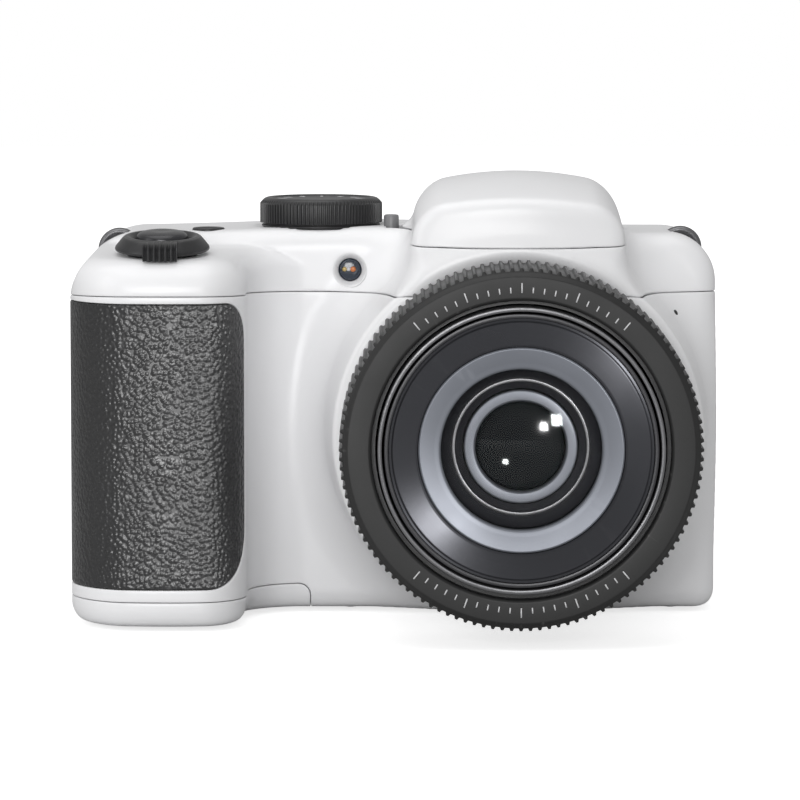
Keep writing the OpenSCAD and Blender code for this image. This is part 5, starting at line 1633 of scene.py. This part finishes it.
# %% Screen
pane_front, pane_back = screen_low[1], screen_high[1]
pane_low, pane_high = (screen_low[0], screen_low[2]), (screen_high[0], screen_high[2])
pane = lofted(pane_low, pane_high, SCREEN_CORNER,
              [(0, pane_front + 0.1), (0, pane_back - 0.25), (0.08, pane_back - 0.08),
                                         (0.3, pane_back - 0.01)], facing_back)
sharpen(add_piece("screen_window_pane", *pane, "screen_pane", "camera", "screen_glass", "screen_window"), 40)
MASK = 3.2
mask_outer = rounded_loop(pane_low, pane_high, SCREEN_CORNER, 0.1)
mask_inner = rounded_loop(pane_low, pane_high, SCREEN_CORNER, MASK)
mask_points = np.array([(u, pane_front + 0.08, v) for u, v in mask_outer + mask_inner])
ring_count = len(mask_outer)
mask_faces = [(n, (n + 1) % ring_count, ring_count + (n + 1) % ring_count, ring_count + n)
              for n in range(ring_count)]
add_piece("screen_mask", mask_points, mask_faces, "screen_black", "camera", "black_plastic")

# %% [markdown]
# ## Thumb rest
# The thumb lies on ribbed rubber. Ribs as bump would vanish at the outline, so each is a small loft on a
# thin base.

# %% Thumb rest
rest_low, rest_high = box_mm("thumb_rest")
rest = [lofted((rest_low[0], rest_low[2]), (rest_high[0], rest_high[2]), 2.4,
               [(0, rest_low[1] - 0.3), (0, rest_low[1] + 0.2), (0.3, rest_low[1] + 0.4)], facing_back)]
REST_RIBS = 8
rib_pitch = (rest_high[2] - rest_low[2] - 2.4) / REST_RIBS
for n in range(REST_RIBS):
    rib_z = rest_low[2] + 1.2 + rib_pitch * n
    rest.append(lofted((rest_low[0] + 0.7, rib_z + 0.3), (rest_high[0] - 0.7, rib_z + rib_pitch - 0.3), 0.7,
                       [(0, rest_low[1] + 0.3), (0.1, rest_high[1] - 0.25), (0.35, rest_high[1] - 0.01)],
                       facing_back))
sharpen(add_piece("thumb_rest_ribbed", *joined(rest), "grip_rubber", "camera", "grip_rubber", "thumb_rest"), 40)

# %% [markdown]
# ## Rear keys
# A brim behind the cover keeps each key in its hole. Five keys share one profile that is sized by their
# solids, so a loop turns them all.

# %% Rear keys
KEY_BRIM = 0.9
pad_mid, pad_box, ok_box = middle_mm("four_way_pad"), box_mm("four_way_pad"), box_mm("ok_button")
pad_r, ok_r = pad_mid[0] - pad_box[0][0] - KEY_BRIM, (ok_box[1][0] - ok_box[0][0]) / 2
pad_root, pad_crest = pad_box[0][1], pad_box[1][1]
pad_profile = soften([
    (ok_r + 0.3, pad_root, 0.1), (pad_r + KEY_BRIM, pad_root, 0.1), (pad_r + KEY_BRIM, pad_root + 0.9, 0.1),
    (pad_r, pad_root + 0.95, 0.1), (pad_r, pad_crest - 0.5, 0.3), (pad_r - 0.6, pad_crest - 0.02, 0.4),
    (pad_r - 1.5, pad_crest - 0.05, 0.3), (pad_r - 2.6, pad_crest - 0.4, 0.6),
    (ok_r + 1.2, pad_crest - 0.55, 0.4), (ok_r + 0.3, pad_crest - 0.8, 0.2)])
sharpen(add_piece("four_way_pad_turned", *spun(pad_profile, 128, through_back(pad_mid)), "black_plastic",
                  "four_way", "black_plastic", "four_way_pad"), 40)
pad_marks = bars([(pad_r - 2.5, step * 90) for step in range(4)], 1.2, 0.7, (pad_crest - 0.7, pad_crest - 0.34),
                 through_back(pad_mid))
add_piece("four_way_pad_marks", *pad_marks, "pale_mark", "four_way", "black_plastic")
ok_profile = soften([(0, ok_box[0][1], 0), (ok_r, ok_box[0][1], 0.1), (ok_r, ok_box[1][1] - 0.01, 0.4),
                     (ok_r - 0.9, ok_box[1][1] - 0.01, 0.3), (ok_r - 1.4, ok_box[1][1] - 0.2, 0.4),
                     (0, ok_box[1][1] - 0.3, 0)], closed=False)
sharpen(add_piece("ok_button_turned", *spun(ok_profile, 80, through_back(pad_mid)), "black_plastic", "ok",
                  "black_plastic", "ok_button"), 40)
for key in KEYS:
    low, high = box_mm(key)
    mid = middle_mm(key)
    r = (high[0] - low[0]) / 2 - KEY_BRIM
    cap = soften([(0, low[1], 0), (r + KEY_BRIM, low[1], 0.1), (r + KEY_BRIM, low[1] + 0.9, 0.1),
                  (r, low[1] + 0.95, 0.1), (r, high[1] - 0.12, 0.35), (r - 1.0, high[1] - 0.02, 0.5),
                  (0, high[1] - 0.01, 0)], closed=False)
    red = key == "record_button"
    sharpen(add_piece(f"{key}_turned", *spun(cap, 72, through_back(mid)), "black_plastic", key.split("_")[0],
                      "black_plastic", key), 40)
    dot = soften([(0.0, high[1] - 0.4, 0), (1.0, high[1] - 0.3, 0), (1.05, high[1] - 0.02, 0.1),
                  (0.0, high[1] - 0.005, 0)], closed=False)
    add_piece(f"{key}_dot", *spun(dot, 32, through_back(mid)), "red_plastic" if red else "pale_mark",
              key.split("_")[0], "red_plastic" if red else "black_plastic")

# %% [markdown]
# ## Port flap
# A flap hides the port. It is a loft with a rounded rim and a rib for the fingernail, set back at its
# hinge so that it clears the opening when it swings.

# %% Port flap
flap_parts = [lofted((flap_low[1] + FLAP_SETBACK, flap_low[2]), (flap_high[1], flap_high[2]), 1.1,
                     [(0.15, flap_low[0]), (0, flap_low[0] + 0.2), (0, flap_high[0] - 0.45),
                      (0.12, flap_high[0] - 0.2), (0.45, flap_high[0] - 0.12)], facing_side)]
nail_z = (flap_low[2] + flap_high[2]) / 2
flap_parts.append(lofted((flap_high[1] - 2.2, nail_z - 3.2), (flap_high[1] - 1.0, nail_z + 3.2), 0.6,
                         [(0, flap_high[0] - 0.4), (0.1, flap_high[0] - 0.1), (0.3, flap_high[0] - 0.01)],
                         facing_side))
sharpen(add_piece("port_flap_moulded", *joined(flap_parts), "white_plastic", "flap", "grip_rubber",
                  "port_flap"), 40)

# %% [markdown]
# ## Strap lugs
# A lug is a steel eye in a pocket at each shoulder. A torus would do from afar. A profile with flats and
# rounded edges looks pressed from steel.

# %% Strap lugs
LUG_EYE_R, LUG_R, LUG_HALF = 2.3, 4.0, 1.2
lug_parts = []
for lug in LUGS:
    half = [(LUG_EYE_R, 0.7, 0.4), (3.0, LUG_HALF, 0.4), (3.6, LUG_HALF, 0.5), (LUG_R, 0.6, 0.4)]
    rows = [(radius, lug[1] - along, rounding) for radius, along, rounding in half]
    rows += [(radius, lug[1] + along, rounding) for radius, along, rounding in half[::-1]]
    lug_parts.append(spun(soften(rows), 64, through_back(lug)))
sharpen(add_piece("strap_lugs_turned", *joined(lug_parts), "dark_steel", "camera", "steel", "strap_lugs"), 40)

# %% [markdown]
# ## Microphone
# A pinhole lets sound in. Cut from a coarse skin it would be ragged, so a small black disc is set square
# on the surface instead. Its black is painted shade for the dark inside of the hole.

# %% Microphone hole
def facing(centre, normal):
    """Turning about an axis that stands square on a surface and runs into it."""
    side = np.cross(normal, (0.0, 0.0, 1.0))
    side /= np.linalg.norm(side)
    up = np.cross(side, normal)
    return lambda radius, along, turn: tuple(
        centre[n] - along * normal[n] + radius * (np.cos(turn) * side[n] + np.sin(turn) * up[n])
        for n in range(3))


mic_start = np.array([[RIGHT - 7.7, FRONT - 1, SEAM_Z - 3.5]])
for _ in range(12):
    mic_start[0, 1] += float(body(*mic_start.T)[0])
mic_normal = slope(body, mic_start)[0]
mic_normal = mic_normal / np.linalg.norm(mic_normal)
MIC_R, MIC_DEPTH = 0.6, 0.6
mic_profile = soften([(0, -0.01, 0), (0.35, -0.03, 0.1), (0.5, -0.05, 0.1), (MIC_R, 0.05, 0.1),
                      (MIC_R, MIC_DEPTH, 0), (0, MIC_DEPTH, 0)], closed=False)
# The disc's near-black finish is painted shade standing in for the shadowed inside of the pinhole.
sharpen(add_piece("microphone_inlet", *spun(mic_profile, 48, facing(mic_start[0], mic_normal)), "pit_black",
                  "camera", "black_plastic"), 40)
print("microphone at", mic_start[0].round(2), "facing", mic_normal.round(2))

# %% [markdown]
# ## Base screws
# Four screws hold the base. A boolean could cut their slots. It is simpler to press the points inside a
# cross inwards while the head is turned.

# %% Base screws
SHANK_R, SLOT_HALF, SLOT_REACH, SLOT_DEPTH = 0.8, 0.34, 1.05, 0.55
screw_head, screw_tip = screw_low[2], screw_high[2]


def cross_slot(radius, along, turn):
    """Presses a cross into the face of a screw's head."""
    u, v = radius * np.cos(turn), radius * np.sin(turn)
    arm = np.minimum(np.abs(u), np.abs(v))
    cut = np.clip((SLOT_HALF - arm) / 0.1, 0, 1) * np.clip((SLOT_REACH - radius) / 0.15, 0, 1)
    face = np.clip((screw_head + 0.35 - along) / 0.1, 0, 1)
    return radius, along + SLOT_DEPTH * cut * face


screw_rows = [(0, screw_head)] + [(r, screw_head) for r in np.arange(0.12, 1.3, 0.12)]
screw_rows += [(1.38, screw_head + 0.04), (1.47, screw_head + 0.2), (SCREW_R, screw_head + 0.4),
               (SCREW_R, screw_head + 0.9), (SHANK_R, screw_head + 0.9), (SHANK_R, screw_tip), (0, screw_tip)]
screw_parts = [spun(screw_rows, 48, upright(spot), cross_slot) for spot in SCREW_SPOTS]
sharpen(add_piece("base_screws_turned", *joined(screw_parts), "dark_steel", "camera", "steel", "base_screws"),
        40)

# %% [markdown]
# ## Tripod bush
# The bush is brass with a quarter inch thread. A swept helix would need a boolean. A bore whose radius
# depends on depth and turn together is a thread already.

# %% Tripod bush
THREAD_PITCH, THREAD_CORE, THREAD_DEPTH = 1.27, 2.62, 0.5


def inner_thread(radius, along, turn):
    phase = np.abs((along / THREAD_PITCH - turn / (2 * math.pi)) % 1 * 2 - 1)
    return radius + (radius < THREAD_CORE + 0.01) * THREAD_DEPTH * phase, along


bush_low, bush_top = box_mm("tripod_bush")[0][2], box_mm("tripod_bush")[1][2]
bush_rows = [(THREAD_CORE, z) for z in np.arange(bush_top, bush_low + 0.3, -0.12)]
BUSH_R, BUSH_COLLAR_R = 4.95, 6.15
bush_rows += [(THREAD_CORE + 0.6, bush_low + 0.02), (BUSH_R - 0.25, bush_low + 0.02), (BUSH_R, bush_low + 0.25),
              (BUSH_R, bush_low + 2.2), (BUSH_COLLAR_R, bush_low + 2.25), (BUSH_COLLAR_R, bush_low + 3.3),
              (BUSH_R, bush_low + 3.4), (BUSH_R, bush_top)]
bush = spun(bush_rows, 64, upright(BUSH), inner_thread)
sharpen(add_piece("tripod_bush_threaded", *bush, "brass", "camera", "brass", "tripod_bush"), 40)

# %% [markdown]
# ## Flash
# A pop-up flash is a glass tube in a bright reflector behind a ribbed pane. It shows when the lid stands up, so
# the ribs are real grooves across the pane.

# %% Flash pane
FLASH_TILT = math.radians(45)
window_low, window_high = box_mm("flash_window")
PANE_HALF_X, PANE_HALF_V, PANE_T = (window_high[0] - window_low[0]) / 2, 4.0, 1.2
FLASH_BASE = (LENS_X, window_low[1] + PANE_HALF_V * math.sin(FLASH_TILT), (window_low[2] + window_high[2]) / 2
              - PANE_T / 2 * math.sin(FLASH_TILT))


def on_flash(u, v, w):
    """A point in the flash's frame: u across, v up the pane and w back into the lid."""
    return (FLASH_BASE[0] + u, FLASH_BASE[1] + w * math.cos(FLASH_TILT) - v * math.sin(FLASH_TILT),
            FLASH_BASE[2] + w * math.sin(FLASH_TILT) + v * math.cos(FLASH_TILT))


PANE_GROOVES, GROOVE_POINTS, GROOVE_TOP, GROOVE_DEPTH = 20, 6, 0.03, 0.22
PANE_EDGE, pane_floor = PANE_HALF_V - 0.05, PANE_T - 0.02
groove_v = np.linspace(-PANE_EDGE, PANE_EDGE, PANE_GROOVES * GROOVE_POINTS + 1)
groove = GROOVE_TOP + GROOVE_DEPTH * np.abs((np.arange(len(groove_v)) / GROOVE_POINTS) % 1 * 2 - 1)
groove[[0, -1]] = GROOVE_TOP
pane_outline = list(zip(groove_v, groove)) + [(PANE_EDGE, pane_floor), (-PANE_EDGE, pane_floor)]
pane_ends = (-PANE_HALF_X + 0.05, PANE_HALF_X - 0.05)
pane_points = np.array([on_flash(u, v, w) for u in pane_ends for v, w in pane_outline])
outline_count = len(pane_outline)
pane_faces = [(n, (n + 1) % outline_count, outline_count + (n + 1) % outline_count, outline_count + n)
              for n in range(outline_count)]
pane_faces += [tuple(range(outline_count))[::-1], tuple(range(outline_count, 2 * outline_count))]
pane_faces = outward(pane_points - pane_points.mean(axis=0), pane_faces)
add_piece("flash_window_ribbed", pane_points, pane_faces, "frosted_pane", "flash", "lens_glass", "flash_window")


# %% [markdown]
# ## Hinge of the flash
# The lid turns on a pin. A barrel round the pin fills the slot behind the lid, so no gap shows when it
# stands up.

# %% Flash hinge barrel
def on_hinge(radius, along, turn):
    return LENS_X + along + 0 * turn, HINGE_Y + radius * np.cos(turn), HINGE_Z + radius * np.sin(turn)


BARREL_HALF, BARREL_R = 9.0, 2.4
PIN_BORE = 1.05
hinge_rows = [(PIN_BORE, -BARREL_HALF, 0), (BARREL_R, -BARREL_HALF, 0.3), (BARREL_R, BARREL_HALF, 0.3),
              (PIN_BORE, BARREL_HALF, 0)]
hinge_barrel = spun(soften(hinge_rows), 48, on_hinge)
sharpen(add_piece("flash_hinge_barrel", *hinge_barrel, "white_plastic", "flash", "white_plastic"), 40)

# %% [markdown]
# ## Inside
# Covers hide most of the inside. The battery bay shows when its door is open, so the cells get their crimped
# ends and the door's contacts are wound as springs. The other nodes keep their CAD shape and get a finish.

# %% Battery cells
aa_low, aa_high = box_mm("aa_cells")
AA_R, BUTTON_H = 7.25, 1.2
AA_SPOTS = [(x, y, 0) for x in (aa_low[0] + AA_R, aa_high[0] - AA_R)
              for y in (aa_low[1] + AA_R, aa_high[1] - AA_R)]
cell_foot, cell_neck = aa_low[2], aa_high[2] - BUTTON_H
SHRINK_R, CAN_R = 6.9, 6.4
jacket = soften([
    (6.1, cell_foot + 0.15, 0.1), (SHRINK_R, cell_foot + 0.02, 0.2), (AA_R - 0.01, cell_foot + 0.5, 0.3),
    (AA_R - 0.01, cell_neck - 0.5, 0.3), (SHRINK_R, cell_neck - 0.02, 0.2), (5.6, cell_neck - 0.15, 0.1),
    (5.6, cell_neck - 0.5, 0), (SHRINK_R, cell_neck - 0.8, 0), (SHRINK_R, cell_foot + 0.8, 0),
    (6.1, cell_foot + 0.5, 0)])
jackets = joined([spun(jacket, 64, upright(spot)) for spot in AA_SPOTS])
add_piece("aa_cells_jackets", *jackets, "cell_wrap", "camera", "cell_wrap", "aa_cells")
can = soften([
    (0, cell_foot + 0.1, 0), (5.2, cell_foot + 0.1, 0.3), (5.6, cell_foot + 0.35, 0.2),
    (CAN_R, cell_foot + 0.35, 0.1),
    (CAN_R, cell_neck - 0.4, 0.1), (2.9, cell_neck - 0.4, 0.2), (2.65, aa_high[2] - 0.02, 0.3),
    (0, aa_high[2] - 0.02, 0)], closed=False)
cans = joined([spun(can, 64, upright(spot)) for spot in AA_SPOTS])
sharpen(add_piece("aa_cells_cans", *cans, "steel", "camera", "steel"), 40)


# %% [markdown]
# ## Springs
# Conical springs press on the cells. A circle swept along a tapering helix is how a wire is wound, so it
# has the right shape at once.

# %% Contact springs in the battery door
def swept(path, radius, sides=8):
    """A round wire along a path."""
    path = np.array(path, float)
    along = np.gradient(path, axis=0)
    along /= np.linalg.norm(along, axis=1)[:, None]
    side = np.cross(along, (0.0, 0.0, 1.0))
    side /= np.linalg.norm(side, axis=1)[:, None]
    up = np.cross(side, along)
    points, faces = [], []
    for place, s, u in zip(path, side, up):
        points += [place + radius * (math.cos(a) * s + math.sin(a) * u)
                   for a in np.arange(sides) * 2 * math.pi / sides]
    for row in range(len(path) - 1):
        for n in range(sides):
            m = (n + 1) % sides
            faces.append((row * sides + n, row * sides + m, (row + 1) * sides + m, (row + 1) * sides + n))
    faces += [tuple(range(sides))[::-1], tuple(range(len(points) - sides, len(points)))]
    return np.array(points), faces


SPRING_TURNS, WIRE_R, SPRING_WIDE, SPRING_NARROW, SPRING_FOOT_R = 4, 0.32, 4.3, 2.2, 4.7
spring_box = box_mm("door_contacts")
springs = []
for spot in AA_SPOTS:
    t = np.linspace(0, 1, SPRING_TURNS * 28 + 1)
    turn = t * SPRING_TURNS * 2 * math.pi
    reach = SPRING_WIDE + (SPRING_NARROW - SPRING_WIDE) * t
    height = spring_box[0][2] + 0.7 + (spring_box[1][2] - spring_box[0][2] - 1.1) * t
    coil = np.stack([spot[0] + reach * np.cos(turn), spot[1] + reach * np.sin(turn), height], axis=1)
    springs.append(swept(coil, WIRE_R))
    foot_low, foot_high = spring_box[0][2] + 0.02, spring_box[0][2] + 0.45
    foot = soften([(0, foot_low, 0), (SPRING_FOOT_R, foot_low, 0.1), (SPRING_FOOT_R, foot_high, 0.2),
                   (0, foot_high, 0)],
                  closed=False)
    springs.append(spun(foot, 48, upright(spot)))
sharpen(add_piece("door_contacts_springs", *joined(springs), "brass", "door", "brass", "door_contacts"), 40)

# %% [markdown]
# ## Pieces deep inside
# No view shows more than a glimpse of these, so they keep the shape of their solids and only get a finish
# by name.

# %% Finishes of the nodes that stay as they are
INNER_FINISH = {
    "door_hinge_pin": "steel", "flash_hinge_pin": "steel", "battery_box": "black_plastic",
    "cell_contacts": "brass",
    "card_socket": "steel", "memory_card": "card_blue", "lens_tube": "black_plastic", "cam_ring": "black_metal",
    "lens_base": "black_plastic", "zoom_motor": "steel", "zoom_pinion": "brass", "iris_unit": "black_metal",
    "rear_group": "black_plastic", "sensor": "screen_black", "sensor_board": "circuit_board",
    "chassis": "steel",
    "main_board": "circuit_board", "key_board": "circuit_board", "screen_panel": "screen_grey",
    "flash_reflector": "bright_metal", "flash_tube": "frosted_pane", "flash_capacitor": "cell_wrap",
    "port_socket": "steel"}
for name, finish_name in INNER_FINISH.items():
    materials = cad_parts[name].data.materials
    for slot_index in range(len(materials)):
        materials[slot_index] = paint[finish_name]
print("inner nodes finished:", len(INNER_FINISH))
